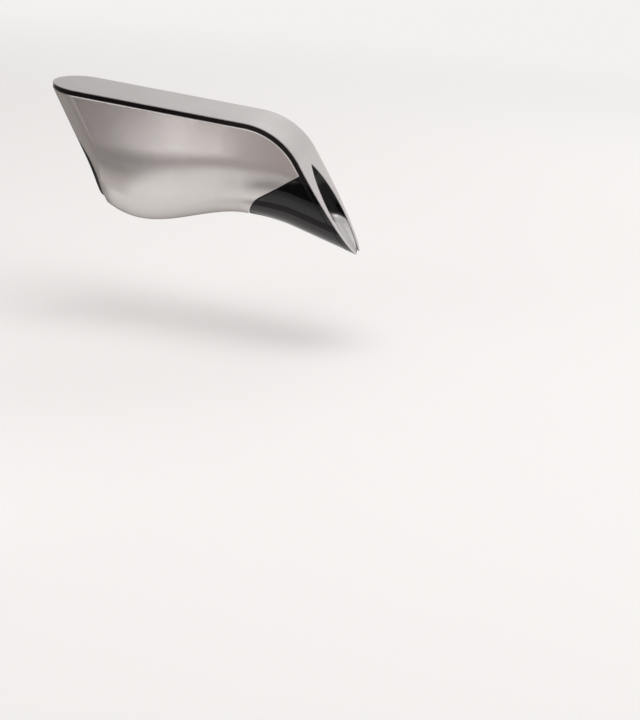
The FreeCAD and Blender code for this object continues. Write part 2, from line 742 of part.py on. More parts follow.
def spout_zone(shift):
    """The region of the spout body, ahead of the line between it and the shell."""
    corner = V(N["joint_station"] + shift, 0, -N["joint_depth"])
    up = direction(-N["joint_rise"])
    down = direction(HALF_TURN - N["joint_fall"])
    turn = math.acos(up.dot(down * -1)) / 2
    setback = N["joint_round"] * math.tan(turn)
    entry = corner + up * setback
    leaving = corner + down * setback
    bisector = (up + down).normalize()
    middle = corner + bisector * (N["joint_round"] / math.cos(turn) - N["joint_round"])
    high = corner + up * FAR
    low = corner + down * FAR
    outline = [
        Part.LineSegment(high, entry).toShape(),
        Part.Arc(entry, middle, leaving).toShape(),
        Part.LineSegment(leaving, low).toShape(),
        Part.LineSegment(low, V(high.x, 0, low.z)).toShape(),
        Part.LineSegment(V(high.x, 0, low.z), high).toShape(),
    ]
    return across(outline)


# ---------------------------------------------------------------- outer pieces
MOUTH_REACH = 6.0
WELD = 0.2
LIP_CORNER = face_point(N["lip_station"], N["lip_recess"])
LIP_LINE = BentLine(LIP_CORNER, N["lip_slope"], N["front_slope"], N["lip_round"])
LINER_OUTER = N["neck_bore"] + N["liner_wall"]
DECK_FLOOR = S["neck_bore"] + S["liner_wall"] + S["deck_gap"]
DECK_TOP = DECK_FLOOR + S["deck_wall"]
BOSS_PLACES = [(x, y) for x in (-N["boss_back"], N["boss_front"]) for y in (-N["boss_side"], N["boss_side"])]


def make_cover():
    """The bent metal cover with the leaf-shaped mouth."""
    plate = envelope(0.0, False).common(COVER_LINE.layer(0.0, N["cover_wall"]))
    return solid_part("top_cover", single(plate.cut(leaf(0.0, -MOUTH_REACH, MOUTH_REACH))))


def make_frame():
    """The black frame under the cover: a rim, a thin deck, the mouth's collar and four screw bosses."""
    top = N["cover_wall"]
    foot = top + N["band_height"]
    under_deck = top + N["frame_deck"]
    blank = envelope(0.0, False).common(COVER_LINE.layer(top, foot))
    hollow = envelope(N["frame_wall"], False).common(COVER_LINE.layer(under_deck, foot + OVERRUN))
    hollow = hollow.cut(leaf(N["mouth_collar"], -MOUTH_REACH, MOUTH_REACH))
    frame = blank.cut(hollow)
    for x, y in BOSS_PLACES:
        start = number(DECK_TOP)
        boss = Part.makeCylinder(N["boss_radius"], HULL_TOP - start, V(x, y, start))
        boss = boss.common(COVER_LINE.below(under_deck - WELD))
        frame = frame.fuse(boss)
    for x, y in BOSS_PLACES:
        place = V(x, y, number(DECK_TOP))
        frame = frame.cut(Part.makeCylinder(N["screw_radius"] + N["hole_play"], N["screw_room"], place))
    frame = frame.cut(leaf(0.0, -MOUTH_REACH, MOUTH_REACH))
    return solid_part("bezel_frame", single(frame))


def make_shell():
    """The satin metal shell round the bottle's mouth and the works."""
    outside = envelope(0.0, True).common(COVER_LINE.below(SHELL_TOP))
    shell = outside.cut(envelope(N["shell_wall"], True))
    shell = shell.cut(spout_zone(-N["joint_gap"] / 2))
    opening = Part.makeCylinder(LINER_OUTER + N["liner_play"], FAR, V(-FAR, 0, 0), V(1, 0, 0))
    shell = shell.cut(opening)
    play = N["port_play"]
    start = V(-FAR, -N["socket_width"] / 2 - play, N["board_rise"] - N["socket_height"] - play)
    length = FAR - N["socket_back"] + N["socket_length"]
    port = Part.makeBox(length, N["socket_width"] + 2 * play, N["socket_height"] + 2 * play, start)
    return solid_part("outer_shell", single(shell.cut(port)))


def duct_axis():
    """Corner points of the wine duct's centre line from its flange to its outlet."""
    start = V(N["liner_end_start"] + N["liner_end_wall"] + N["duct_seal_wall"], 0, 0)
    corner = V(N["duct_bend"], 0, 0)
    return [start, corner, corner + direction(N["lip_slope"]) * N["duct_run"]]


def make_spout():
    """The black nose: a thin shell behind its bulkhead and a solid tip that holds the chamber."""
    outside = envelope(0.0, True).common(COVER_LINE.below(SHELL_TOP))
    spout = outside.common(spout_zone(N["joint_gap"] / 2))
    inside = envelope(N["spout_wall"], True).common(COVER_LINE.below(SHELL_TOP - OVERRUN))
    behind = Part.makeBox(FAR, FAR, FAR, V(N["bulkhead_station"] - FAR, -FAR / 2, -FAR / 2))
    spout = spout.cut(inside.common(behind))
    above_lip = across_above(LIP_LINE, N["lip_wall"] + N["leaf_play"])
    chamber = leaf(0.0, -MOUTH_REACH, N["chamber_depth"]).common(above_lip)
    spout = spout.cut(chamber)
    passage = tube_along(duct_axis(), N["wine_bore"] + N["duct_wall"] + N["leaf_play"], N["duct_bend_radius"])
    return solid_part("spout_body", single(spout.cut(passage)))


def across_above(line, depth):
    """Everything above a bent line at a depth."""
    start, end = line.ends(depth)
    outline = line.edges(depth)
    high = max(start.z, end.z) + FAR
    outline.append(Part.LineSegment(end, V(end.x, 0, high)).toShape())
    outline.append(Part.LineSegment(V(end.x, 0, high), V(start.x, 0, high)).toShape())
    outline.append(Part.LineSegment(V(start.x, 0, high), start).toShape())
    return across(outline)


def make_lip():
    """The polished pouring lip that starts in the chamber and runs down the face to the tip."""
    plate = LIP_LINE.layer(0.0, N["lip_wall"])
    bounds = leaf(-N["leaf_play"], -OVERRUN, N["chamber_depth"] - N["leaf_play"])
    lip = keep_behind_tip(plate.common(bounds)).common(envelope(0.0, False))
    return solid_part("pour_lip", single(lip))


def make_liner():
    """The black liner round the bottle's neck, with an end wall that carries the duct."""
    start = N["liner_end_start"]
    end = start + N["liner_end_wall"]
    tube = Part.makeCylinder(LINER_OUTER, FAR + end, V(-FAR, 0, 0), V(1, 0, 0))
    tube = tube.cut(Part.makeCylinder(N["neck_bore"], FAR + start, V(-FAR, 0, 0), V(1, 0, 0)))
    hole = N["spigot_radius"] + N["socket_play"]
    tube = tube.cut(Part.makeCylinder(hole, end + OVERRUN, V(0, 0, 0), V(1, 0, 0)))
    for place in ring_places(N["duct_screw_circle"], 3):
        centre = V(start, place[0], place[1])
        drill = Part.makeCylinder(N["screw_radius"] + N["hole_play"], end, centre, V(1, 0, 0))
        tube = tube.cut(drill)
    return solid_part("neck_liner", single(tube.common(envelope(0.0, True))))


def ring_places(radius, count, first=90.0):
    """Places evenly round the X axis, as pairs across and up."""
    places = []
    for index in range(count):
        angle = math.radians(first + 360.0 * index / count)
        places.append((radius * math.cos(angle), radius * math.sin(angle)))
    return places


# ---------------------------------------------------------------- stopper cartridge
SEAL_START = -S["seal_length"]
SPIGOT_START = SEAL_START - S["spigot_tail"]
FLANGE_START = S["gasket_wall"]
FLANGE_END = FLANGE_START + S["flange_wall"]


def make_stopper_seal():
    """Soft stopper: a core with flat-topped ribs that seal in the bottle's mouth."""
    land = S["rib_land"]
    flank = S["rib_flank"]
    corners = [(SEAL_START, S["spigot_radius"])]
    count = 1 + int((N["seal_length"] - N["rib_land"] - N["rib_flank"]) // N["rib_pitch"])
    corners.append((SEAL_START, S["seal_core"]))
    for index in reversed(range(count)):
        end = -(S["rib_pitch"] * float(index))
        corners.append((end - land - flank, S["seal_core"]))
        corners.append((end - land, S["seal_radius"]))
        corners.append((end, S["seal_radius"]))
        if index > 0:
            corners.append((end + flank, S["seal_core"]))
    corners.append((size_of(0.0), S["spigot_radius"]))
    return revolved("stopper_seal", corners)


def make_spigot():
    """Rigid spigot: a tube with a flange for the bottle's lip and a nose with an O-ring groove."""
    outer = S["spigot_radius"]
    groove = outer - S["ring_section"] * GROOVE_DEPTH_SHARE
    ring = S["ring_station"]
    half = S["ring_section"] * GROOVE_HALF_SHARE
    corners = [
        (SPIGOT_START, S["wine_bore"]),
        (S["spigot_nose"], S["wine_bore"]),
        (S["spigot_nose"], outer),
        (ring + half, outer),
        (ring + half, groove),
        (ring - half, groove),
        (ring - half, outer),
        (FLANGE_END, outer),
        (FLANGE_END, S["flange_radius"]),
        (FLANGE_START, S["flange_radius"]),
        (FLANGE_START, outer),
        (SPIGOT_START, outer),
    ]
    return revolved("stopper_spigot", corners)


def make_seat_gasket():
    """Flat ring that the bottle's lip closes on."""
    corners = [
        (size_of(0.0), S["spigot_radius"]),
        (FLANGE_START, S["spigot_radius"]),
        (FLANGE_START, S["flange_radius"]),
        (size_of(0.0), S["flange_radius"]),
    ]
    return revolved("seat_gasket", corners)


def make_spigot_ring():
    """O-ring between the spigot and the duct's socket."""
    body = new_body("spigot_o_ring")
    sketch = new_sketch(body, "XZ_Plane")
    middle = S["spigot_radius"] - S["ring_section"] * RING_SINK_SHARE
    add_circle(sketch, S["ring_station"], middle, S["ring_section"])
    turn = body.newObject("PartDesign::Revolution", "Turn")
    turn.Profile = sketch
    turn.ReferenceAxis = (sketch, ["H_Axis"])
    turn.Angle = 360.0
    sketch.Visibility = False
    return publish(body, "spigot_o_ring")


def make_vent():
    """Thin tube that lets air back into the bottle, held against the top of the wine's way."""
    body = new_body("vent_tube")
    rise = S["wine_bore"] - S["vent_radius"]

    def draw(sketch):
        add_circle(sketch, 0.0, rise, S["vent_radius"])
        add_circle(sketch, 0.0, rise, S["vent_bore"])

    pad(body, "YZ_Plane", draw, S["vent_tail"] + S["spigot_nose"], -S["vent_tail"])
    return publish(body, "vent_tube")


# ---------------------------------------------------------------- wine duct and air injector
DUCT_START = S["liner_end_start"] + S["liner_end_wall"] + S["duct_seal_wall"]


def make_duct():
    """The wine duct: flange, socket for the spigot, bent pipe and a ring of air holes."""
    points = duct_axis()
    outer = N["wine_bore"] + N["duct_wall"]
    socket_bore = N["spigot_radius"] + N["socket_play"]
    start = points[0].x - OVERRUN
    duct = tube_along(points, outer, N["duct_bend_radius"])
    socket_length = N["socket_depth"] + N["duct_wall"]
    duct = duct.fuse(Part.makeCylinder(socket_bore + N["duct_wall"], socket_length, points[0], V(1, 0, 0)))
    duct = duct.fuse(Part.makeCylinder(N["duct_flange"], N["duct_flange_wall"], points[0], V(1, 0, 0)))
    duct = duct.cut(tube_along(points, N["wine_bore"], N["duct_bend_radius"]))
    duct = duct.cut(Part.makeCylinder(socket_bore, N["socket_depth"], points[0], V(1, 0, 0)))
    for y, z in ring_places(N["duct_screw_circle"], 3):
        hole = Part.makeCylinder(N["screw_radius"] + N["hole_play"], N["duct_flange_wall"] + 2 * OVERRUN,
                                 V(start, y, z), V(1, 0, 0))
        duct = duct.cut(hole)
    middle = V(N["injector_station"], 0, 0)
    for y, z in ring_places(1.0, AIR_HOLES, AIR_HOLE_TURN):
        duct = duct.cut(Part.makeCylinder(N["air_hole"], outer + OVERRUN, middle, V(0, y, z)))
    return solid_part("wine_duct", single(duct))


def make_duct_seal():
    """Flat seal between the duct's flange and the liner's end wall."""
    start = S["liner_end_start"] + S["liner_end_wall"]
    inner = S["spigot_radius"] + S["socket_play"]
    outer = inner + S["duct_wall"]
    corners = [(start, inner), (DUCT_START, inner), (DUCT_START, outer), (start, outer)]
    return revolved("duct_seal", corners)


def make_injector():
    """Ring round the duct with an air groove and a foot for the check valve."""
    inner = S["wine_bore"] + S["duct_wall"]
    outer = inner + S["injector_wall"]
    half = S["injector_length"] / 2.0
    groove = S["plenum_length"] / 2.0
    middle = S["injector_station"]
    deep = inner + S["plenum_depth"]
    body = new_body("air_injector")
    sketch = new_sketch(body, "XZ_Plane")
    add_polygon(sketch, [
        (middle - half, inner), (middle - groove, inner), (middle - groove, deep), (middle + groove, deep),
        (middle + groove, inner), (middle + half, inner), (middle + half, outer), (middle - half, outer),
    ])
    turn = body.newObject("PartDesign::Revolution", "Turn")
    turn.Profile = sketch
    turn.ReferenceAxis = (sketch, ["H_Axis"])
    turn.Angle = 360.0
    sketch.Visibility = False
    doc.recompute()
    pad(body, "XY_Plane", lambda drawing: add_circle(drawing, middle, 0.0, S["valve_radius"]),
        S["valve_seat"] - deep - S["valve_foot_gap"], deep + S["valve_foot_gap"])
    socket = S["nipple_radius"] + S["fit_play"]
    pocket(body, "XY_Plane", lambda drawing: add_circle(drawing, middle, 0.0, socket),
           S["valve_seat"] - deep + OVERRUN, deep)
    return publish(body, "air_injector")


def make_valve_housing():
    """Upright housing of the check valve, with a nipple at each end."""
    body = new_body("valve_housing")
    middle = S["injector_station"]
    foot = S["valve_seat"]
    pad(body, "XY_Plane", lambda drawing: add_circle(drawing, middle, 0.0, S["valve_radius"]),
        S["valve_height"], foot)
    top = foot + S["valve_height"]
    low = S["valve_seat"] - S["wine_bore"] - S["duct_wall"] - S["plenum_depth"]
    pad(body, "XY_Plane", lambda drawing: add_circle(drawing, middle, 0.0, S["nipple_radius"]),
        S["nipple_length"], top)
    pad(body, "XY_Plane", lambda drawing: add_circle(drawing, middle, 0.0, S["nipple_radius"]),
        low, foot - low)
    pocket(body, "XY_Plane", lambda drawing: add_circle(drawing, middle, 0.0, S["nipple_bore"]),
           S["valve_height"] + S["nipple_length"] + low + OVERRUN, foot - low)
    pocket(body, "XY_Plane", lambda drawing: add_circle(drawing, middle, 0.0, S["valve_room"]),
           S["valve_height"] - S["valve_wall"] * 2.0, foot + S["valve_wall"])
    return publish(body, "valve_housing")


def make_check_valve():
    """Soft duckbill in the housing: a flange with a narrowing bill."""
    middle = N["injector_station"]
    foot = N["valve_seat"] + N["valve_wall"]
    bill_height = N["valve_height"] - 2 * N["valve_wall"] - N["valve_flange"]
    flange = Part.makeCylinder(N["valve_room"], N["valve_flange"], V(middle, 0, foot + bill_height))
    bill = Part.makeCone(N["nipple_bore"] / 2, N["nipple_radius"], bill_height, V(middle, 0, foot))
    return solid_part("check_valve", single(flange.fuse(bill)))


def make_hose():
    """Air hose from the pump's nozzle down to the check valve."""
    bore = N["nipple_radius"] + N["fit_play"]
    points = [
        V(pump_front() + N["hose_start_gap"], 0, N["motor_rise"]),
        V(N["injector_station"], 0, N["motor_rise"]),
        V(N["injector_station"], 0, N["valve_seat"] + N["valve_height"] + N["hose_gap"]),
    ]
    hose = tube_along(points, bore + N["hose_wall"], N["hose_bend"])
    hose = hose.cut(tube_along(points, bore, N["hose_bend"]))
    return solid_part("air_hose", single(hose))


# ---------------------------------------------------------------- motor
MOTOR_END = S["motor_start"] + S["motor_length"]
ARMATURE_START = S["motor_start"] + S["armature_gap"]


def pump_front():
    """Front face of the pump's cap."""
    return (N["pump_start"] + N["pump_base_length"] + N["diaphragm_wall"] + N["valve_plate_wall"]
            + N["cap_length"])


def make_can():
    """Drawn steel can with a hole for the front bush."""
    start = S["motor_start"]
    inner = S["motor_radius"] - S["can_wall"]
    wall = MOTOR_END - S["can_wall"]
    corners = [(start, inner), (wall, inner), (wall, S["bush_radius"]), (MOTOR_END, S["bush_radius"]),
               (MOTOR_END, S["motor_radius"]), (start, S["motor_radius"])]
    return revolved("motor_can", corners, S["motor_rise"])


def make_bell():
    """Moulded end bell that closes the can and holds the rear bush."""
    start = S["motor_start"] - S["bell_wall"]
    inner = S["motor_radius"] - S["can_wall"]
    spigot = S["motor_start"] + S["bell_spigot"]
    corners = [(start, S["bush_radius"]), (spigot, S["bush_radius"]),
               (spigot, inner), (S["motor_start"], inner),
               (S["motor_start"], S["motor_radius"]), (start, S["motor_radius"])]
    return revolved("end_bell", corners, S["motor_rise"])


def make_bushes():
    """The two bushes that the shaft turns in."""
    bore = N["shaft_radius"] + N["shaft_play"]
    rings = []
    for start in (N["motor_start"] - N["bell_wall"], number(MOTOR_END) - N["bush_length"]):
        place = V(start, 0, N["motor_rise"])
        ring = Part.makeCylinder(N["bush_radius"], N["bush_length"], place, V(1, 0, 0))
        rings.append(ring.cut(Part.makeCylinder(bore, N["bush_length"], place, V(1, 0, 0))))
    return solid_part("motor_bushes", Part.makeCompound(rings))


def make_magnets():
    """Two curved magnets inside the can."""
    outer = N["motor_radius"] - N["can_wall"]
    start = number(ARMATURE_START) - N["magnet_overhang"]
    length = N["armature_length"] + 2 * N["magnet_overhang"]
    pieces = []
    for side in (MAGNET_START, MAGNET_START + HALF_TURN):
        place = V(start, 0, N["motor_rise"])
        sector = Part.makeCylinder(outer, length, place, V(1, 0, 0), MAGNET_SPAN)
        sector = sector.cut(Part.makeCylinder(N["magnet_radius"], length, place, V(1, 0, 0)))
        sector.rotate(place, V(1, 0, 0), side)
        pieces.append(sector)
    return solid_part("field_magnets", Part.makeCompound(pieces))


def make_brushes():
    """Two carbon brushes beside the commutator."""
    start = N["motor_start"] + N["brush_setback"]
    foot = N["motor_rise"] - N["brush_height"] / 2
    inner = N["commutator_radius"] + N["brush_gap"]
    pieces = []
    for low in (inner, -inner - N["brush_depth"]):
        corner = V(start, low, foot)
        pieces.append(Part.makeBox(N["brush_length"], N["brush_depth"], N["brush_height"], corner))
    return solid_part("motor_brushes", Part.makeCompound(pieces))


def make_shaft():
    """The motor's shaft, from the rear bush to the eccentric."""
    body = new_body("motor_shaft")
    start = S["motor_start"] - S["bell_wall"] + S["shaft_inset"]
    end = S["pump_start"] + S["pump_base_wall"] + S["hub_gap"] + S["hub_length"] - S["shaft_short"]
    pad(body, "YZ_Plane", lambda drawing: add_circle(drawing, 0.0, S["motor_rise"], S["shaft_radius"]),
        end - start, start)
    return publish(body, "motor_shaft")


def make_armature():
    """Laminated armature with three winding slots."""
    body = new_body("armature")

    def draw(sketch):
        add_circle(sketch, 0.0, 0.0, S["armature_radius"])
        add_circle(sketch, 0.0, 0.0, S["shaft_radius"])

    pad(body, "YZ_Plane", draw, S["armature_length"], ARMATURE_START)
    corners = rectangle(-(S["slot_width"] / 2.0), S["slot_floor"], S["slot_width"], S["armature_radius"])
    slot = pocket(body, "YZ_Plane", lambda drawing: add_polygon(drawing, corners),
                  S["armature_length"] + 2 * OVERRUN, ARMATURE_START - OVERRUN)
    pattern = body.newObject("PartDesign::PolarPattern", "Slots")
    pattern.Originals = [slot]
    pattern.Axis = (origin_part(body, "X_Axis"), [""])
    pattern.Angle = 360.0
    pattern.Occurrences = 3
    body.Tip = pattern
    body.setExpression("Placement.Base.z", S["motor_rise"].text)
    return publish(body, "armature")


def make_commutator():
    """Copper commutator on the shaft."""
    start = S["motor_start"] + S["commutator_gap"]
    corners = [(start, S["shaft_radius"]), (start + S["commutator_length"], S["shaft_radius"]),
               (start + S["commutator_length"], S["commutator_radius"]), (start, S["commutator_radius"])]
    return revolved("commutator", corners, S["motor_rise"])


def make_cradle():
    """Soft cradle that hangs from the inner frame and holds the can."""
    body = new_body("motor_cradle")
    length = S["cradle_length"]
    start = S["motor_start"] + S["cradle_setback"]
    foot = S["motor_rise"] - S["motor_radius"] - S["cradle_floor"]
    corners = rectangle(-(S["cradle_width"] / 2.0), foot, S["cradle_width"], DECK_FLOOR - foot)
    pad(body, "YZ_Plane", lambda drawing: add_polygon(drawing, corners), length, start)
    pocket(body, "YZ_Plane", lambda drawing: add_circle(drawing, 0.0, S["motor_rise"], S["motor_radius"]),
           length + 2 * OVERRUN, start - OVERRUN)
    return publish(body, "motor_cradle")


# ---------------------------------------------------------------- pump head
BASE_END = S["pump_start"] + S["pump_base_length"]
DIAPHRAGM_END = BASE_END + S["diaphragm_wall"]
PLATE_END = DIAPHRAGM_END + S["valve_plate_wall"]
CAP_END = PLATE_END + S["cap_length"]
CORNER = S["pump_width"] / 2.0 - S["corner_inset"]


def draw_square(sketch):
    """The pump head's square with its four screw holes."""
    half = S["pump_width"] / 2.0
    add_polygon(sketch, rectangle(-half, -half, S["pump_width"], S["pump_width"]))
    for y in (-CORNER, CORNER):
        for z in (-CORNER, CORNER):
            add_circle(sketch, y, z, S["screw_radius"] + S["hole_play"])


def pump_layer(label, start, length):
    """One square layer of the pump head, on the motor's axis."""
    body = new_body(label)
    pad(body, "YZ_Plane", draw_square, length, start)
    body.setExpression("Placement.Base.z", S["motor_rise"].text)
    return body


def draw_cups(sketch, radius):
    """Three circles round the motor's axis."""
    for y, z in ring_places(1.0, 3):
        add_circle(sketch, S["cup_circle"] * round(y, DIGITS), S["cup_circle"] * round(z, DIGITS), radius)


def make_pump_base():
    """Base that bolts to the motor and houses the wobble drive."""
    body = pump_layer("pump_base", S["pump_start"], S["pump_base_length"])
    pocket(body, "YZ_Plane", lambda drawing: add_circle(drawing, 0.0, 0.0, S["pump_cavity"]),
           S["pump_base_length"], S["pump_start"] + S["pump_base_wall"])
    pocket(body, "YZ_Plane", lambda drawing: add_circle(drawing, 0.0, 0.0, S["bush_radius"] + S["bush_play"]),
           S["pump_base_wall"] + 2 * OVERRUN, S["pump_start"] - OVERRUN)
    return publish(body, "pump_base")


def make_eccentric():
    """Hub on the shaft with a pin off its axis."""
    body = new_body("eccentric")
    start = S["pump_start"] + S["pump_base_wall"] + S["hub_gap"]
    pad(body, "YZ_Plane", lambda drawing: add_circle(drawing, 0.0, 0.0, S["hub_radius"]),
        S["hub_length"], start)
    pocket(body, "YZ_Plane", lambda drawing: add_circle(drawing, 0.0, 0.0, S["shaft_radius"]),
           S["hub_length"] - S["shaft_short"] + OVERRUN, start - OVERRUN)
    pad(body, "YZ_Plane", lambda drawing: add_circle(drawing, S["pin_throw"], 0.0, S["pin_radius"]),
        S["pin_length"], start + S["hub_length"])
    body.setExpression("Placement.Base.z", S["motor_rise"].text)
    return publish(body, "eccentric")


def make_yoke():
    """Wobble yoke: a disc with room for the pin's path and three lugs for the diaphragm."""
    body = new_body("wobble_yoke")
    start = BASE_END - S["yoke_wall"] - S["yoke_gap"]
    room = S["pin_throw"] + S["pin_radius"] + S["pin_play"]

    def draw(sketch):
        add_circle(sketch, 0.0, 0.0, S["yoke_radius"])
        add_circle(sketch, 0.0, 0.0, room)

    pad(body, "YZ_Plane", draw, S["yoke_wall"], start)
    pad(body, "YZ_Plane", lambda drawing: draw_cups(drawing, S["lug_radius"]),
        S["diaphragm_wall"] + S["yoke_gap"], start + S["yoke_wall"])
    body.setExpression("Placement.Base.z", S["motor_rise"].text)
    return publish(body, "wobble_yoke")


def make_diaphragm():
    """Rubber sheet with three cups that the yoke's lugs work."""
    body = pump_layer("pump_diaphragm", BASE_END, S["diaphragm_wall"])
    pad(body, "YZ_Plane", lambda drawing: draw_cups(drawing, S["cup_radius"]), S["cup_height"], DIAPHRAGM_END)
    pocket(body, "YZ_Plane", lambda drawing: draw_cups(drawing, S["lug_radius"] + S["fit_play"]),
           S["diaphragm_wall"] + OVERRUN, BASE_END - OVERRUN)
    return publish(body, "pump_diaphragm")


def make_valve_plate():
    """Plate with three pump chambers and their ports."""
    body = pump_layer("valve_plate", DIAPHRAGM_END, S["valve_plate_wall"])
    room = S["cup_radius"] + S["chamber_play"]
    pocket(body, "YZ_Plane", lambda drawing: draw_cups(drawing, room),
           S["cup_height"] + S["chamber_end_play"] + OVERRUN, DIAPHRAGM_END - OVERRUN)
    pocket(body, "YZ_Plane", lambda drawing: draw_cups(drawing, S["nipple_bore"]),
           S["valve_plate_wall"] + 2 * OVERRUN, DIAPHRAGM_END - OVERRUN)
    return publish(body, "valve_plate")


def make_flaps():
    """Thin rubber disc whose tongues close the ports."""
    radius = S["pump_cavity"] - S["flap_ledge"]
    corners = [(PLATE_END, S["nipple_bore"]), (PLATE_END + S["flap_wall"], S["nipple_bore"]),
               (PLATE_END + S["flap_wall"], radius), (PLATE_END, radius)]
    return revolved("valve_flaps", corners, S["motor_rise"])


def make_cap():
    """Cap that gathers the air and leads it to the nozzle."""
    body = pump_layer("pump_cap", PLATE_END, S["cap_length"])
    pocket(body, "YZ_Plane", lambda drawing: add_circle(drawing, 0.0, 0.0, S["pump_cavity"] - S["cap_ledge"]),
           S["cap_length"] - S["cap_wall"] + OVERRUN, PLATE_END - OVERRUN)
    pad(body, "YZ_Plane", lambda drawing: add_circle(drawing, 0.0, 0.0, S["nipple_radius"]),
        S["nipple_length"], CAP_END)
    pocket(body, "YZ_Plane", lambda drawing: add_circle(drawing, 0.0, 0.0, S["nipple_bore"]),
           S["cap_length"] + S["nipple_length"] + OVERRUN, PLATE_END)
    return publish(body, "pump_cap")


# ---------------------------------------------------------------- screws
def screw(place, heading, length):
    """A screw whose head's underside is at place and whose shank runs along heading."""
    shank = Part.makeCylinder(N["screw_radius"], length, place, heading)
    top = place - heading * N["screw_head_wall"]
    head = Part.makeCylinder(N["screw_head"], N["screw_head_wall"], top, heading)
    socket = Part.makeCylinder(N["screw_radius"] * SOCKET_SHARE, N["screw_head_wall"] / 2, top, heading)
    return shank.fuse(head).cut(socket)


def make_pump_screws():
    """Four screws through the pump's layers."""
    length = number(CAP_END) - N["pump_start"] - N["pump_base_wall"]
    pieces = []
    corner = number(CORNER)
    for y in (-corner, corner):
        for z in (-corner, corner):
            pieces.append(screw(V(number(CAP_END), y, N["motor_rise"] + z), V(-1, 0, 0), length))
    return solid_part("pump_screws", Part.makeCompound(pieces))


def make_duct_screws():
    """Three screws that hold the duct's flange to the liner."""
    length = N["duct_flange_wall"] + N["duct_seal_wall"] + N["liner_end_wall"] - N["duct_screw_short"]
    front = number(DUCT_START) + N["duct_flange_wall"]
    pieces = [screw(V(front, y, z), V(-1, 0, 0), length) for y, z in ring_places(N["duct_screw_circle"], 3)]
    return solid_part("duct_screws", Part.makeCompound(pieces))


def make_frame_screws():
    """Four screws that hold the inner frame to the black frame's bosses."""
    length = N["deck_wall"] + N["screw_reach"]
    pieces = [screw(V(x, y, number(DECK_FLOOR)), V(0, 0, 1), length) for x, y in BOSS_PLACES]
    return solid_part("frame_screws", Part.makeCompound(pieces))


# ---------------------------------------------------------------- inner frame and electronics
BOARD_TOP = S["board_rise"] + S["board_wall"]
BATTERY_FLOOR = DECK_TOP + S["pad_wall"]


def make_inner_frame():
    """Deck with the motor's window, screw holes and four posts for the board."""
    body = new_body("inner_frame")
    half = S["deck_width"] / 2.0
    rail = S["window_width"] / 2.0
    window = rectangle(S["window_start"], -rail, S["deck_length"], S["window_width"])

    def draw(sketch):
        add_polygon(sketch, rectangle(-S["deck_back"], -half, S["deck_length"], S["deck_width"]))
        for x in (-S["boss_back"], S["boss_front"]):
            for y in (-S["boss_side"], S["boss_side"]):
                add_circle(sketch, x, y, S["screw_radius"] + S["hole_play"])

    pad(body, "XY_Plane", draw, S["deck_wall"], DECK_FLOOR)
    pocket(body, "XY_Plane", lambda drawing: add_polygon(drawing, window),
           S["deck_wall"] + 2 * OVERRUN, DECK_FLOOR - OVERRUN)
    side = S["board_width"] / 2.0 - S["post_radius"]
    back = -S["battery_back"] - S["post_radius"] - S["post_play"]
    front = S["board_length"] - S["board_back"] - S["post_radius"] - S["post_play"]

    def draw_posts(sketch):
        for y in (-side, side):
            add_circle(sketch, back, y, S["post_radius"])

    pad(body, "XY_Plane", draw_posts, S["board_rise"] - DECK_TOP, DECK_TOP)

    def draw_front_posts(sketch):
        for y in (-rail - S["post_radius"], rail + S["post_radius"]):
            add_circle(sketch, front, y, S["post_radius"])

    pad(body, "XY_Plane", draw_front_posts, S["board_rise"] - DECK_TOP, DECK_TOP)
    return publish(body, "inner_frame")


def make_board():
    """The main board, on the frame's posts."""
    return block("main_board", -S["board_back"], -(S["board_width"] / 2.0), S["board_rise"],
                 S["board_length"], S["board_width"], S["board_wall"])


def make_chips():
    """Controller, charger and driver chips on the board."""
    side = N["controller_side"]
    small = N["driver_side"]
    corner = V(-N["controller_back"], -side / 2, number(BOARD_TOP))
    pieces = [Part.makeBox(side, side, N["chip_height"], corner)]
    for y in (-N["driver_off"] - small, N["driver_off"]):
        place = V(-N["driver_back"], y, number(BOARD_TOP))
        pieces.append(Part.makeBox(small, small, N["chip_height"], place))
    return solid_part("board_chips", Part.makeCompound(pieces))


def make_electronics():
    """Battery, its foam pad, the tilt sensor and the status light."""
    half = S["battery_width"] / 2.0
    block("battery_pad", -S["battery_back"], -half, DECK_TOP, S["battery_length"], S["battery_width"],
          S["pad_wall"])
    block("battery", -S["battery_back"], -half, BATTERY_FLOOR, S["battery_length"], S["battery_width"],
          S["battery_height"])
    block("tilt_sensor", S["sensor_station"], -(S["sensor_side"] / 2.0), BOARD_TOP, S["sensor_side"],
          S["sensor_side"], S["chip_height"])
    block("status_light", -S["light_back"], -(S["light_side"] / 2.0), BOARD_TOP, S["light_side"],
          S["light_side"], S["light_height"])


def make_socket():
    """Metal shell of the charging socket, open to the rear, with its tongue."""
    body = new_body("charging_socket")
    low = S["board_rise"] - S["socket_height"]
    start = -S["socket_back"]
    half = S["socket_width"] / 2.0
    wall = S["socket_wall"]
    outline = rectangle(-half, low, S["socket_width"], S["socket_height"])
    pad(body, "YZ_Plane", lambda drawing: add_polygon(drawing, outline), S["socket_length"], start)
    wide = S["socket_width"] - wall * 2.0
    tongue = low + wall + S["tongue_foot"] + S["tongue_wall"]
    upper_height = low + S["socket_height"] - wall - tongue
    under_tongue = rectangle(wall - half, low + wall, wide, S["tongue_foot"])
    over_tongue = rectangle(wall - half, tongue, wide, upper_height)
    for corners in (under_tongue, over_tongue):
        pocket(body, "YZ_Plane", lambda drawing, corners=corners: add_polygon(drawing, corners),
               S["socket_length"], start - OVERRUN)
    return publish(body, "charging_socket")


def make_foil():
    """Touch foil bonded under the black frame's deck."""
    under = N["cover_wall"] + N["frame_deck"]
    region = Part.makeBox(N["foil_length"], N["foil_width"], FAR, V(-N["foil_back"], -N["foil_width"] / 2, 0))
    foil = COVER_LINE.layer(under, under + N["foil_wall"]).common(region)
    return solid_part("touch_foil", single(foil))


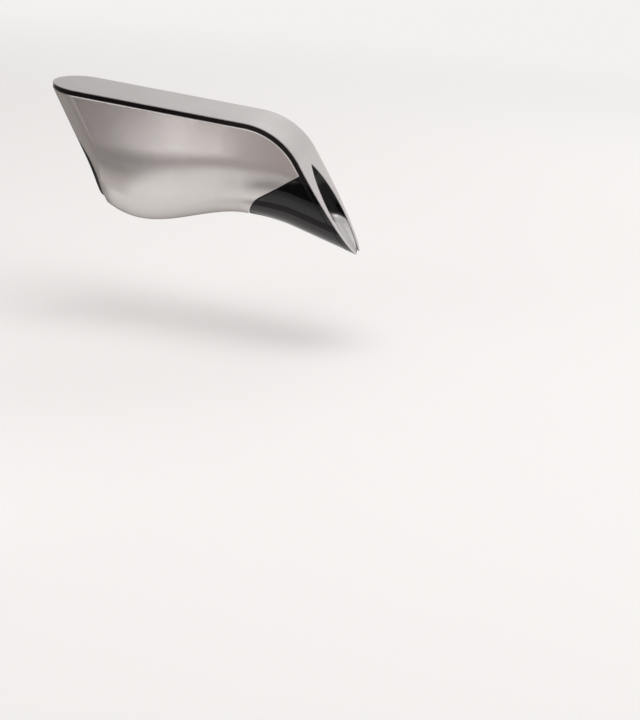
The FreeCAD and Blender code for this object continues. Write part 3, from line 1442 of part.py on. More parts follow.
def make_leads():
    """Two leads from the end bell to the board, and two from the battery to the board."""
    top = N["board_rise"]
    back = N["motor_start"] - N["bell_wall"]
    gap = back - (N["battery_length"] - N["battery_back"])
    middle = back - gap / 2
    rise = N["motor_rise"] + N["lead_rise"]
    motor_leads = []
    for y in (-N["lead_side"], N["lead_side"]):
        points = [V(back, y, rise), V(middle, y, rise), V(middle, y, top)]
        motor_leads.append(tube_along(points, N["lead_radius"], N["lead_bend"]))
    solid_part("motor_leads", Part.makeCompound(motor_leads))
    rise = number(BATTERY_FLOOR) + N["battery_height"] / 2
    start = -N["battery_back"]
    away = start - N["lead_reach"]
    battery_leads = []
    for y in (-N["lead_side"], N["lead_side"]):
        points = [V(start, y, rise), V(away, y, rise), V(away, y, top)]
        battery_leads.append(tube_along(points, N["lead_radius"], N["lead_bend"]))
    solid_part("battery_leads", Part.makeCompound(battery_leads))


# ---------------------------------------------------------------- assembly
def build():
    """Make every piece, from the outside in."""
    make_cover()
    make_frame()
    make_shell()
    make_spout()
    make_lip()
    make_liner()
    make_stopper_seal()
    make_spigot()
    make_seat_gasket()
    make_spigot_ring()
    make_vent()
    make_duct()
    make_duct_seal()
    make_injector()
    make_valve_housing()
    make_check_valve()
    make_hose()
    make_can()
    make_bell()
    make_bushes()
    make_magnets()
    make_brushes()
    make_shaft()
    make_armature()
    make_commutator()
    make_cradle()
    make_pump_base()
    make_eccentric()
    make_yoke()
    make_diaphragm()
    make_valve_plate()
    make_flaps()
    make_cap()
    make_pump_screws()
    make_duct_screws()
    make_frame_screws()
    make_inner_frame()
    make_board()
    make_chips()
    make_electronics()
    make_socket()
    make_foil()
    make_leads()


def check_and_write():
    """Stop if any object failed, then write each piece to its own file."""
    doc.recompute()
    for item in doc.Objects:
        if "Invalid" in item.State or "Error" in item.State:
            raise ValueError(f"{item.Label} failed: {item.State}")
    for item in PARTS:
        if item.Shape.isNull() or not item.Shape.isValid() or not item.Shape.Solids:
            raise ValueError(f"{item.Label} has no valid solid")
    os.makedirs("parts", exist_ok=True)
    for item in PARTS:
        item.Shape.exportStep(f"parts/{item.Label}.step")
        box = item.Shape.BoundBox
        print(f"{item.Label}: {len(item.Shape.Solids)} solid(s), {item.Shape.Volume:.1f} mm3, "
              f"X {box.XMin:.1f} to {box.XMax:.1f}, Y {box.YMin:.1f} to {box.YMax:.1f}, "
              f"Z {box.ZMin:.1f} to {box.ZMax:.1f}")


build()
check_and_write()
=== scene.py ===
"""Pour-through wine aerator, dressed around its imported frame.

Lengths are in millimetres until a piece is built, and Blender objects are in metres. +X runs along
the bottle's neck towards the spout, +Z is up on the cover's side, Y runs across. The origin is the
centre of the bottle's mouth plane.
"""

import json
import logging
import math
from collections.abc import Callable, Sequence
from dataclasses import dataclass
from enum import Enum
from functools import cached_property

import bpy
import numpy as np
from mathutils import Matrix


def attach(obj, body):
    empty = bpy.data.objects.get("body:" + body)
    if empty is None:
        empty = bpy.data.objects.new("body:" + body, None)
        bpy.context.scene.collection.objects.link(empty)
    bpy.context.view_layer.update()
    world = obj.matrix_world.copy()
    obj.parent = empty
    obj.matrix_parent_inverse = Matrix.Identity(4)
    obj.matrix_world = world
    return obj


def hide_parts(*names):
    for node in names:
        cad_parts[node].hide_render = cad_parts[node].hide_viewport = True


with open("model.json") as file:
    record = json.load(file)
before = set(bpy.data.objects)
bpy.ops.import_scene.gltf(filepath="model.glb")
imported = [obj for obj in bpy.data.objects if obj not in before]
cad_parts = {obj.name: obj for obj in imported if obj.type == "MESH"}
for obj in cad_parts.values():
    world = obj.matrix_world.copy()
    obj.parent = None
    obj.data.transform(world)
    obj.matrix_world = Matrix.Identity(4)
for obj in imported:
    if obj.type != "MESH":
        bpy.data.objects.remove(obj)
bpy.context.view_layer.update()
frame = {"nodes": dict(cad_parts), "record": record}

LOG = logging.getLogger("aerator")
Points = np.ndarray
Field = Callable[[Points], np.ndarray]
Face = tuple[int, ...]
MM = 0.001
HALF_TURN = math.pi
TURN = 2 * math.pi
TINY = 1e-9


class Body(Enum):
    """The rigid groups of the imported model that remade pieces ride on."""

    HEAD = "head"
    STOPPER = "stopper"


# ------------------------------------------------------------------------------------ lines and form
def along(degrees: float) -> np.ndarray:
    """Unit vector in the XZ plane that falls by an angle below +X."""
    angle = math.radians(degrees)
    return np.array([math.cos(angle), 0.0, -math.sin(angle)])


def into(degrees: float) -> np.ndarray:
    """Unit vector at right angles to along(), on its lower side."""
    heading = along(degrees)
    return np.array([heading[2], 0.0, -heading[0]])


def smooth(share: np.ndarray) -> np.ndarray:
    """S-shaped ramp from 0 to 1, flat at both ends."""
    share = np.clip(share, 0.0, 1.0)
    return share * share * (3 - 2 * share)


def glide(x: np.ndarray, start: Sequence[float], end: Sequence[float]) -> np.ndarray:
    """Cubic between two places.

    Args:
        x: stations where it is wanted.
        start: station, height and slope at its start.
        end: station, height and slope at its end.

    Returns:
        The heights.
    """
    run = end[0] - start[0]
    t = (x - start[0]) / run
    first = (1 + 2 * t) * (1 - t) ** 2 * start[1] + t * (1 - t) ** 2 * run * start[2]
    return first + t * t * (3 - 2 * t) * end[1] + t * t * (t - 1) * run * end[2]


@dataclass(frozen=True)
class BentLine:
    """Two straight lines of the XZ plane joined by an arc that bulges up."""

    corner: tuple[float, float]
    slope_in: float
    slope_out: float
    radius: float

    @cached_property
    def centre(self) -> np.ndarray:
        """Centre of the arc.

        Returns:
            The point, on the middle plane.
        """
        first, second = into(self.slope_in), into(self.slope_out)
        corner = np.array([self.corner[0], 0.0, self.corner[1]])
        return corner + (first + second) * self.radius / (1 + first @ second)

    @cached_property
    def bend(self) -> float:
        """Length of the arc."""
        return self.radius * math.radians(self.slope_out - self.slope_in)

    def depth(self, points: Points) -> np.ndarray:
        """Distance under the line.

        Args:
            points: where it is wanted.

        Returns:
            One distance for each point, negative above the line.
        """
        offset = points - self.centre
        offset = offset * np.array([1.0, 0.0, 1.0])
        first, second = offset @ along(self.slope_in), offset @ along(self.slope_out)
        flat_in = self.radius + offset @ into(self.slope_in)
        flat_out = self.radius + offset @ into(self.slope_out)
        bent = self.radius - np.linalg.norm(offset, axis=1)
        straight = np.where(first <= 0, flat_in, flat_out)
        return np.where((first > 0) & (second < 0), bent, straight)

    def places(self, run: np.ndarray, depth: float) -> Points:
        """Points of the line's parallel at a depth.

        Args:
            run: distances along the line from the start of its arc.
            depth: distance under the line.

        Returns:
            One point for each distance.
        """
        angle = self.slope_in + np.degrees(np.clip(run / self.radius, 0.0, self.bend / self.radius))
        turned = np.stack([np.sin(np.radians(angle)), np.zeros_like(angle), np.cos(np.radians(angle))], 1)
        before = np.minimum(run, 0.0)[:, None] * along(self.slope_in)
        after = np.maximum(run - self.bend, 0.0)[:, None] * along(self.slope_out)
        return self.centre + turned * (self.radius - depth) + before + after


@dataclass(frozen=True)
class BodyForm:
    """The outer form that all outer pieces share. Slopes are in degrees below +X."""

    # The bent cover, seen from the side: a flat, an arc and the front face.
    half_width: float = 22.0
    cover_rise: float = 31.8
    cover_slope: float = 4.05
    bend_station: float = 65.6
    bend_radius: float = 35.0
    front_slope: float = 56.56
    # The rear end: how far it goes back, its rounding in plan and the slant of its wall.
    reach_back: float = 46.69
    rear_round: float = 15.0
    rear_slope: float = 60.0
    # The front face, from the height that counts as its start down to the blunt tip.
    face_rise: float = 8.23
    face_length: float = 46.5
    tip_trim: float = 1.5
    spout_slope: float = 17.7
    # The underside: a round belly, a waist and the nose, with the power that fills each section.
    belly_station: float = 1.8
    belly_depth: float = 25.5
    belly_radius: float = 32.6
    steepest_share: float = 0.9
    waist_station: float = 48.0
    waist_depth: float = 16.6
    beak_station: float = 72.0
    side_rise: float = 14.0
    belly_fullness: float = 2.3
    beak_fullness: float = 2.0
    # Layers under the cover's face, and the gap at the joint.
    cover_wall: float = 0.4
    band_height: float = 1.9
    band_gap: float = 0.2
    joint_gap: float = 0.2
    # The leaf-shaped mouth: two circles to either side of the middle plane.
    leaf_radius: float = 28.2
    leaf_centre: float = 22.7
    leaf_offset: float = 14.5
    # The pouring lip, and the joint between shell and nose.
    lip_recess: float = 0.3
    lip_station: float = 28.0
    lip_slope: float = 21.0
    lip_round: float = 12.0
    joint_corner: tuple[float, float] = (54.7, -8.0)
    joint_low_slope: float = -68.0
    joint_high_slope: float = -35.3
    joint_radius: float = 12.0
    # The raw skins: their top, the pitch of their lines, and how far they stay inside the outline.
    skin_top: float = 38.0
    pitch: float = 0.9
    inset: float = 0.04

    @cached_property
    def cover(self) -> BentLine:
        """Top face of the cover, seen from the side."""
        rise = self.cover_rise - self.bend_station * math.tan(math.radians(self.cover_slope))
        return BentLine((self.bend_station, rise), self.cover_slope, self.front_slope, self.bend_radius)

    @cached_property
    def joint(self) -> BentLine:
        """Line between shell and nose, with the nose on its lower side."""
        return BentLine(self.joint_corner, self.joint_low_slope, self.joint_high_slope, self.joint_radius)

    @cached_property
    def lip(self) -> BentLine:
        """Top face of the pouring lip."""
        corner = self.face_point(self.lip_station, self.lip_recess)
        return BentLine((corner[0], corner[2]), self.lip_slope, self.front_slope, self.lip_round)

    @cached_property
    def face_centre(self) -> np.ndarray:
        """Point of the front face from which distances down it are counted.

        Returns:
            The point, on the middle plane.
        """
        corner = np.array([self.cover.corner[0], 0.0, self.cover.corner[1]])
        heading = along(self.front_slope)
        return corner + heading * (corner[2] - self.face_rise) / -heading[2]

    @cached_property
    def fall(self) -> float:
        """Slope of the nose's underside."""
        return math.tan(math.radians(self.spout_slope))

    @cached_property
    def beak_height(self) -> float:
        """Height of the nose's rounded section."""
        heading = along(self.front_slope)
        return self.face_length * (-heading[2] - heading[0] * self.fall)

    @cached_property
    def seam(self) -> float:
        """Height at which the rear wall starts to slant."""
        top = self.cover_rise + self.reach_back * math.tan(math.radians(self.cover_slope))
        return top - self.shell_depth

    @property
    def shell_depth(self) -> float:
        """Depth of the shell's upper edge under the cover's face."""
        return self.cover_wall + self.band_height + self.band_gap

    @property
    def tip(self) -> float:
        """Distance down the front face to the blunt tip."""
        return self.face_length - self.tip_trim - self.inset

    def face_point(self, down: float, deep: float, side: float = 0.0) -> np.ndarray:
        """A point of the front face's own directions.

        Args:
            down: distance down the face.
            deep: distance into it.
            side: distance across it.

        Returns:
            The point.
        """
        place = self.face_centre + along(self.front_slope) * down + into(self.front_slope) * deep
        return place + np.array([0.0, side, 0.0])

    def down(self, points: Points) -> np.ndarray:
        """Distance of points down the front face."""
        return (points - self.face_centre) @ along(self.front_slope)

    def deep(self, points: Points) -> np.ndarray:
        """Distance of points into the front face."""
        return (points - self.face_centre) @ into(self.front_slope)

    def side_end(self, x: np.ndarray) -> np.ndarray:
        """Height at which the straight sides end.

        Args:
            x: stations where it is wanted.

        Returns:
            The heights.
        """
        beak = self.face_rise - (self.beak_station - self.face_centre[0]) * self.fall
        middle = glide(x, (0.0, self.side_rise, 0.0), (self.beak_station, beak, -self.fall))
        front = self.face_rise - (x - self.face_centre[0]) * self.fall
        return np.where(x <= 0, self.side_rise, np.where(x < self.beak_station, middle, front))

    def underside(self, x: np.ndarray) -> np.ndarray:
        """Height of the underside on the middle plane.

        Args:
            x: stations where it is wanted.

        Returns:
            The heights, along the belly, the waist and the nose.
        """
        run = np.clip(self.belly_station - x, 0.0, self.steepest_share * self.belly_radius)
        rest = np.maximum(self.belly_station - x, 0.0) - run
        root = np.sqrt(self.belly_radius ** 2 - run ** 2)
        rear = self.belly_radius - self.belly_depth - root + rest * run / root
        share = smooth((x - self.belly_station) / (self.waist_station - self.belly_station))
        belly = -self.belly_depth + (self.belly_depth - self.waist_depth) * share
        beak = self.side_end(x) - self.beak_height
        at_beak = float(self.side_end(np.array([self.beak_station]))[0]) - self.beak_height
        waist = glide(x, (self.waist_station, -self.waist_depth, 0.0),
                      (self.beak_station, at_beak, -self.fall))
        front = np.where(x < self.beak_station, waist, beak)
        return np.where(x <= self.belly_station, rear, np.where(x < self.waist_station, belly, front))

    def fullness(self, x: np.ndarray) -> np.ndarray:
        """Power of the rounded section."""
        share = smooth((x - self.waist_station) / (self.beak_station - self.waist_station))
        return self.belly_fullness + (self.beak_fullness - self.belly_fullness) * share

    def inside(self, points: Points) -> np.ndarray:
        """Positive inside the hull, about a distance near its surface.

        Args:
            points: where it is wanted.

        Returns:
            One number for each point.
        """
        x, y, z = points.T
        knee, foot, power = self.side_end(x), self.underside(x), self.fullness(x)
        low = np.maximum(knee - z, 0.0) / (knee - foot)
        radius = ((np.abs(y) / self.half_width) ** power + low ** power) ** (1 / power)
        return self.half_width * (1 - radius)

    def rear_centre(self, z: np.ndarray, slanted: bool) -> np.ndarray:
        """Station where the rounded rear end starts, at a height.

        Args:
            z: heights where it is wanted.
            slanted: whether the end leans forward below the seam.

        Returns:
            The stations.
        """
        start = self.rear_round - self.reach_back
        lean = (self.seam - z) / math.tan(math.radians(self.rear_slope))
        return start + lean if slanted else np.full_like(z, start)

    def ahead_of_rear(self, points: Points, slanted: bool = True) -> np.ndarray:
        """Distance along +X from the rear wall.

        Args:
            points: where it is wanted.
            slanted: whether the wall leans forward below the seam.

        Returns:
            One distance for each point.
        """
        x, y, z = points.T
        bulge = np.sqrt(np.maximum(1 - (y / self.half_width) ** 2, 0.0))
        return x - self.rear_centre(z, slanted) + self.rear_round * bulge

    def outline(self, points: Points) -> np.ndarray:
        """Positive inside the plan outline of cover and band.

        Args:
            points: where it is wanted.

        Returns:
            One number for each point, about a distance near the outline.
        """
        x, y, z = points.T
        past = np.maximum(self.rear_centre(z, False) - x, 0.0) / self.rear_round
        rear = self.half_width * (1 - np.hypot(past, y / self.half_width))
        return np.where(past > 0, rear, self.inside(points))

    def outside_leaf(self, points: Points, play: float = 0.0) -> np.ndarray:
        """Distance outside the leaf-shaped mouth, the overlap of two circles in the front face.

        Args:
            points: where it is wanted.
            play: how much wider than the mouth the leaf is taken.

        Returns:
            One distance for each point, negative within the leaf.
        """
        run = self.down(points) - self.leaf_centre
        near = np.hypot(run, points[:, 1] + self.leaf_offset)
        far = np.hypot(run, points[:, 1] - self.leaf_offset)
        return np.maximum(near, far) - self.leaf_radius - play

    def behind_tip(self, points: Points) -> np.ndarray:
        """Distance behind the blunt tip."""
        return self.tip - self.down(points)


FORM = BodyForm()


# ------------------------------------------------------------------------------------ mesh making
class Shape:
    """Faces and their exact normals, gathered for one piece."""

    def __init__(self) -> None:
        """Start empty."""
        self.points: list[Points] = []
        self.faces: list[Face] = []
        self.normals: list[np.ndarray] = []
        self.count = 0

    def add(self, points: Points, faces: Sequence[Face], normals: Sequence[np.ndarray]) -> None:
        """Take in a patch.

        Args:
            points: its corners in millimetres.
            faces: corner numbers within the patch.
            normals: one unit vector for each corner of each face, face after face.
        """
        self.points.append(points)
        self.faces.extend(tuple(corner + self.count for corner in face) for face in faces)
        self.normals.extend(normals)
        self.count += len(points)

    def build(self, name: str, finish: "Finish", body: Body, *stands_for: str) -> bpy.types.Object:
        """Turn the faces into one Blender object that rides on a body.

        Args:
            name: the piece's name.
            finish: its surface.
            body: the rigid group that it moves with.
            stands_for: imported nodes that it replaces.

        Returns:
            The new object.
        """
        mesh = bpy.data.meshes.new(name)
        mesh.from_pydata((np.concatenate(self.points) * MM).tolist(), [], self.faces)
        mesh.shade_smooth()
        mesh.normals_split_custom_set(np.array(self.normals).tolist())
        mesh.materials.append(finish.material())
        piece = bpy.data.objects.new(name, mesh)
        bpy.context.scene.collection.objects.link(piece)
        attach(piece, body.value)
        if stands_for:
            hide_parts(*stands_for)
        LOG.info("%s: %d faces, rides on %s", name, len(self.faces), body.value)
        return piece


@dataclass(frozen=True)
class Rim:
    """A border of a skin, where a field is zero, and the radius that rounds it."""

    # Half the distance between two samples of the field, and the least rise that counts.
    STEP = 0.01
    LEAST_STEEPNESS = 0.05

    field: Field
    radius: float = 0.0

    def slope(self, points: Points, normals: np.ndarray) -> np.ndarray:
        """Steepest rise of the field within the skin.

        Args:
            points: where it is wanted.
            normals: the skin's normals there.

        Returns:
            One vector for each point.
        """
        steps = self.STEP * np.eye(3)
        rises = [(self.field(points + step) - self.field(points - step)) / (2 * self.STEP) for step in steps]
        rise = np.stack(rises, 1)
        return rise - normals * (rise * normals).sum(1, keepdims=True)

    def distance(self, points: Points, normals: np.ndarray) -> np.ndarray:
        """Distance from the border, measured in the skin.

        Args:
            points: where it is wanted.
            normals: the skin's normals there.

        Returns:
            One distance for each point, positive on the side that stays.
        """
        steepness = np.linalg.norm(self.slope(points, normals), axis=1)
        return self.field(points) / np.maximum(steepness, self.LEAST_STEEPNESS)

    def outward(self, points: Points, normals: np.ndarray) -> np.ndarray:
        """Unit vectors in the skin that point out over the border."""
        rise = self.slope(points, normals)
        return -rise / np.maximum(np.linalg.norm(rise, axis=1, keepdims=True), TINY)


Measure = Callable[[Points, np.ndarray], np.ndarray]


class Skin:
    """An open surface that is cut along fields and then given a thickness."""

    # Angles round a rim's rounding, in radians, at which lines are laid.
    STEPS = (0.0, 0.4, 0.8, 1.2)
    # Corners this near a level count as on it, and corners equal to this many digits are welded.
    SNAP = 1e-3
    WELD_DIGITS = 5
    # False-position steps for a crossing, and how near an edge's end they may come.
    ROUNDS = 4
    GUARD = 0.02
    # Most that a rounding sinks, as a share of the wall, and the shares tried where a wall thins.
    SINK_SHARE = 0.6
    SHARES = np.linspace(1.0, 0.05, 20)

    def __init__(self, points: Points, normals: np.ndarray, faces: list[Face]) -> None:
        """Keep the corners, their normals and the faces.

        Args:
            points: the corners.
            normals: one unit vector for each corner.
            faces: corner numbers, each face turned outwards.
        """
        self.points = points
        self.normals = normals
        self.faces = faces

    @classmethod
    def from_grid(cls, grid: Points, outside: Field, wrap: bool = False) -> "Skin":
        """Make a skin from rows and columns of points.

        Args:
            grid: rows by columns by three.
            outside: gives vectors that point roughly out of the surface.
            wrap: whether the last column joins the first.

        Returns:
            The skin, with its faces turned outwards.
        """
        rows, columns, _ = grid.shape
        sides = np.concatenate([grid[:, -1:], grid, grid[:, :1]], 1) if wrap else grid
        across = np.gradient(sides, axis=1)
        across = across[:, 1:-1] if wrap else across
        normals = np.cross(np.gradient(grid, axis=0), across).reshape(-1, 3)
        normals /= np.maximum(np.linalg.norm(normals, axis=1, keepdims=True), TINY)
        points = grid.reshape(-1, 3)
        forward = (normals * outside(points)).sum() > 0
        last = columns if wrap else columns - 1
        faces = []
        for row in range(rows - 1):
            for column in range(last):
                a, b = row * columns + column, row * columns + (column + 1) % columns
                quad = (a, a + columns, b + columns, b)
                faces.append(quad if forward else quad[::-1])
        return cls(points, normals if forward else -normals, faces)

    def joined(self, other: "Skin") -> "Skin":
        """This skin welded to another along the corners that they share.

        Args:
            other: the other skin.

        Returns:
            The new skin.
        """
        points = np.concatenate([self.points, other.points])
        keys, first, index = np.unique(np.round(points, self.WELD_DIGITS), axis=0, return_index=True,
                                       return_inverse=True)
        index = index.reshape(-1)
        normals = np.zeros((len(keys), 3))
        np.add.at(normals, index, np.concatenate([self.normals, other.normals]))
        normals /= np.linalg.norm(normals, axis=1, keepdims=True)
        shift = len(self.points)
        faces = self.faces + [tuple(corner + shift for corner in face) for face in other.faces]
        faces = [tuple(int(index[corner]) for corner in face) for face in faces]
        return Skin(points[first], normals, faces)

    def cut(self, measure: Measure, level: float, keep_rest: bool) -> None:
        """Split the faces along a level of a measure.

        Args:
            measure: gives a number for each point and its normal.
            level: where to split.
            keep_rest: whether the side below the level stays too.
        """
        value = measure(self.points, self.normals) - level
        value[np.abs(value) < self.SNAP] = 0.0
        known = value.tolist()
        crossing: dict[tuple[int, int], int] = {}
        base = len(known)
        faces: list[Face] = []
        for face in self.faces:
            signs = [known[corner] for corner in face]
            if min(signs) >= 0:
                if max(signs) > 0 or keep_rest:
                    faces.append(face)
                continue
            if max(signs) <= 0:
                if keep_rest:
                    faces.append(face)
                continue
            above: list[int] = []
            below: list[int] = []
            for a, b in zip(face, face[1:] + face[:1]):
                if known[a] >= 0:
                    above.append(a)
                if known[a] <= 0:
                    below.append(a)
                if known[a] * known[b] < 0:
                    corner = crossing.setdefault((min(a, b), max(a, b)), base + len(crossing))
                    above.append(corner)
                    below.append(corner)
            if len(above) > 2:
                faces.append(tuple(above))
            if keep_rest and len(below) > 2:
                faces.append(tuple(below))
        if crossing:
            points, normals = self._crossings(np.array(list(crossing)), value, measure, level)
            self.points = np.concatenate([self.points, points])
            self.normals = np.concatenate([self.normals, normals])
        self.faces = faces

    def _crossings(self, pairs: np.ndarray, value: np.ndarray, measure: Measure,
                   level: float) -> tuple[Points, np.ndarray]:
        """Where edges meet the level, by a few false-position steps.

        Args:
            pairs: the two corners of each edge.
            value: the measure at every corner, less the level.
            measure: gives a number for each point and its normal.
            level: what is looked for.

        Returns:
            The new corners and their normals.
        """
        start, end = self.points[pairs[:, 0]], self.points[pairs[:, 1]]
        turn_start, turn_end = self.normals[pairs[:, 0]], self.normals[pairs[:, 1]]
        low, high = np.zeros(len(pairs)), np.ones(len(pairs))
        at_low, at_high = value[pairs[:, 0]].copy(), value[pairs[:, 1]].copy()
        for _ in range(self.ROUNDS):
            share = np.clip(low - at_low * (high - low) / (at_high - at_low), self.GUARD, 1 - self.GUARD)
            points = start + (end - start) * share[:, None]
            normals = turn_start + (turn_end - turn_start) * share[:, None]
            normals /= np.linalg.norm(normals, axis=1, keepdims=True)
            found = measure(points, normals) - level
            same = found * at_low > 0
            low, at_low = np.where(same, share, low), np.where(same, found, at_low)
            high, at_high = np.where(same, high, share), np.where(same, at_high, found)
            at_high = np.where(at_high == at_low, at_low + TINY, at_high)
        return points, normals

    def trim(self, rims: Sequence[Rim]) -> None:
        """Cut the skin at its rims and lay lines beside each rim that is rounded.

        Args:
            rims: the borders, each with its field positive on the side that stays.
        """
        for rim in rims:
            self.cut(lambda points, normals, rim=rim: rim.field(points), 0.0, False)
        for rim in rims:
            if rim.radius > 0:
                for step in self.STEPS:
                    self.cut(rim.distance, rim.radius * (1 - math.sin(step)), True)
        used = sorted({corner for face in self.faces for corner in face})
        renumber = {corner: index for index, corner in enumerate(used)}
        self.points, self.normals = self.points[used], self.normals[used]
        self.faces = [tuple(renumber[corner] for corner in face) for face in self.faces]

    def room(self, wall: float, limit: Field) -> np.ndarray:
        """Thickness at each corner that keeps the wall's inner side where a field is positive.

        Args:
            wall: the most it may be.
            limit: the field.

        Returns:
            One thickness for each corner.
        """
        thickness = np.full(len(self.points), wall)
        for share in self.SHARES:
            inner = self.points - self.normals * (wall * share)
            thickness = np.where(limit(inner) < 0, np.minimum(thickness, wall * share), thickness)
        return thickness

    def thicken(self, shape: Shape, wall: float | np.ndarray, rims: Sequence[Rim]) -> None:
        """Add the skin to a shape as a closed wall with rounded outer rims.

        Args:
            shape: what takes the faces in.
            wall: thickness, one number or one for each corner.
            rims: the borders that trim() cut.
        """
        points, normals = self.points, self.normals
        thickness = np.broadcast_to(np.asarray(wall, float), (len(points),))
        outer, turned = points.copy(), normals.copy()
        ways = [rim.outward(points, normals) for rim in rims]
        nearest = np.full(len(points), 1.0)
        for rim, way in zip(rims, ways):
            if rim.radius == 0:
                continue
            share = np.clip(rim.distance(points, normals) / rim.radius, 0.0, 1.0)
            lean = 1 - share
            upright = np.sqrt(np.maximum(1 - lean ** 2, 0.0))
            closer = share < nearest
            sunk = np.minimum(rim.radius, thickness * self.SINK_SHARE) * (1 - upright)
            outer = np.where(closer[:, None], points - normals * sunk[:, None], outer)
            tilt = normals * upright[:, None] + way * lean[:, None]
            turned = np.where(closer[:, None], tilt, turned)
            nearest = np.where(closer, share, nearest)
        inner = points - normals * thickness[:, None]
        count = len(points)
        faces = list(self.faces)
        vectors = [turned[corner] for face in self.faces for corner in face]
        for face in self.faces:
            back = tuple(corner + count for corner in reversed(face))
            faces.append(back)
            vectors.extend(-normals[corner - count] for corner in back)
        edges = {(a, b) for face in self.faces for a, b in zip(face, face[1:] + face[:1])}
        border = sorted((a, b) for a, b in edges if (b, a) not in edges)
        if border and rims:
            ends = np.array(border)
            middle = (points[ends[:, 0]] + points[ends[:, 1]]) / 2
            facing = (normals[ends[:, 0]] + normals[ends[:, 1]]) / 2
            gaps = np.stack([np.abs(rim.distance(middle, facing)) for rim in rims])
            for (a, b), rim_number in zip(border, gaps.argmin(0)):
                way = ways[rim_number]
                faces.append((b, a, a + count, b + count))
                vectors.extend((way[b], way[a], way[a], way[b]))
        shape.add(np.concatenate([outer, inner]), faces, vectors)


def wall_from(skin: Skin, shape: Shape, wall: float, rims: Sequence[Rim],
              limit: Field | None = None) -> None:
    """Trim a skin and add it to a shape as a wall.

    Args:
        skin: the raw skin.
        shape: what takes the wall in.
        wall: its thickness.
        rims: its borders.
        limit: a field that its inner side must keep positive, by being thinner.
    """
    skin.trim(rims)
    skin.thicken(shape, wall if limit is None else skin.room(wall, limit), rims)


@dataclass(frozen=True)
class Lathe:
    """Turns closed profiles of (x, radius, corner rounding) about a line parallel to X."""

    # Most of a side that a corner's rounding takes up, and the shortest run that counts.
    LONGEST_SHARE = 0.48
    SHORTEST = 1e-6

    across: float = 0.0
    up: float = 0.0
    steps: int = 96
    arc_steps: int = 5

    def profile(self, corners: Sequence[tuple[float, float, float]]) -> tuple[np.ndarray, np.ndarray]:
        """Corners with their rounding worked in.

        Args:
            corners: x, radius and rounding of each corner, in order round the section.

        Returns:
            Places along the section and the normal at each, doubled where it is sharp.
        """
        spots = np.array([corner[:2] for corner in corners])
        nexts = np.roll(spots, -1, 0)
        if (spots[:, 0] * nexts[:, 1] - spots[:, 1] * nexts[:, 0]).sum() < 0:
            return self.profile(list(corners)[::-1])
        places: list[np.ndarray] = []
        facings: list[np.ndarray] = []
        for index, corner in enumerate(corners):
            before = spots[index] - spots[index - 1]
            after = nexts[index] - spots[index]
            lengths = np.linalg.norm(before), np.linalg.norm(after)
            before, after = before / lengths[0], after / lengths[1]
            first, last = np.array([before[1], -before[0]]), np.array([after[1], -after[0]])
            turn = math.atan2(before[0] * after[1] - before[1] * after[0], before @ after)
            back = min(abs(corner[2] * math.tan(turn / 2)), self.LONGEST_SHARE * min(lengths))
            if back < self.SHORTEST:
                places += [spots[index], spots[index]]
                facings += [first, last]
                continue
            radius = back / math.tan(turn / 2)
            centre = spots[index] - before * back - first * radius
            for step in range(self.arc_steps + 1):
                angle = turn * step / self.arc_steps
                facing = first * math.cos(angle) + before * math.sin(angle)
                places.append(centre + facing * radius)
                facings.append(facing)
        places.append(places[0])
        facings.append(facings[0])
        return np.array(places), np.array(facings)

    def turn(self, shape: Shape, corners: Sequence[tuple[float, float, float]]) -> None:
        """Add a turned solid to a shape.

        Args:
            shape: what takes the solid in.
            corners: x, radius and rounding of each corner of its section.
        """
        places, facings = self.profile(corners)
        angles = np.linspace(0.0, TURN, self.steps, endpoint=False)
        ring = np.stack([np.cos(angles), np.sin(angles)], 1)
        for index in range(len(places) - 1):
            ends = places[index:index + 2]
            if np.linalg.norm(ends[1] - ends[0]) < self.SHORTEST:
                continue
            rows = [np.column_stack([np.full(self.steps, end[0]), self.across + ring[:, 0] * end[1],
                                     self.up + ring[:, 1] * end[1]]) for end in ends]
            turned = [np.column_stack([np.full(self.steps, facing[0]), ring * facing[1]])
                      for facing in facings[index:index + 2]]
            faces = []
            vectors = []
            for step in range(self.steps):
                after = (step + 1) % self.steps
                faces.append((step, step + self.steps, after + self.steps, after))
                vectors += [turned[0][step], turned[1][step], turned[1][after], turned[0][after]]
            shape.add(np.concatenate(rows), faces, vectors)


# ------------------------------------------------------------------------------------ finishes
def linear(code: str) -> tuple[float, float, float, float]:
    """Linear colour of an sRGB hex code.

    Args:
        code: a hash and six digits.

    Returns:
        Red, green, blue and a full alpha.
    """
    parts = [int(code[place:place + 2], 16) / 255 for place in (1, 3, 5)]
    red, green, blue = [part / 12.92 if part <= 0.04045 else ((part + 0.055) / 1.055) ** 2.4
                        for part in parts]
    return red, green, blue, 1.0


def add_node(tree: bpy.types.NodeTree, kind: str, settings: dict[str, object] | None = None,
             sockets: dict[str | int, object] | None = None) -> bpy.types.Node:
    """Add one node.

    Args:
        tree: the node tree.
        kind: the node's type.
        settings: its properties.
        sockets: values or output sockets for its inputs.

    Returns:
        The node.
    """
    node = tree.nodes.new(kind)
    for key, value in (settings or {}).items():
        setattr(node, key, value)
    for key, value in (sockets or {}).items():
        if isinstance(value, bpy.types.NodeSocket):
            tree.links.new(value, node.inputs[key])
        else:
            node.inputs[key].default_value = value
    return node


class Grain(Enum):
    """How a surface was made, which sets the run of its pattern."""

    EVEN = (1.0, 1.0, 1.0)
    ALONG = (0.04, 1.0, 1.0)
    ROUND = (1.0, 0.06, 0.06)


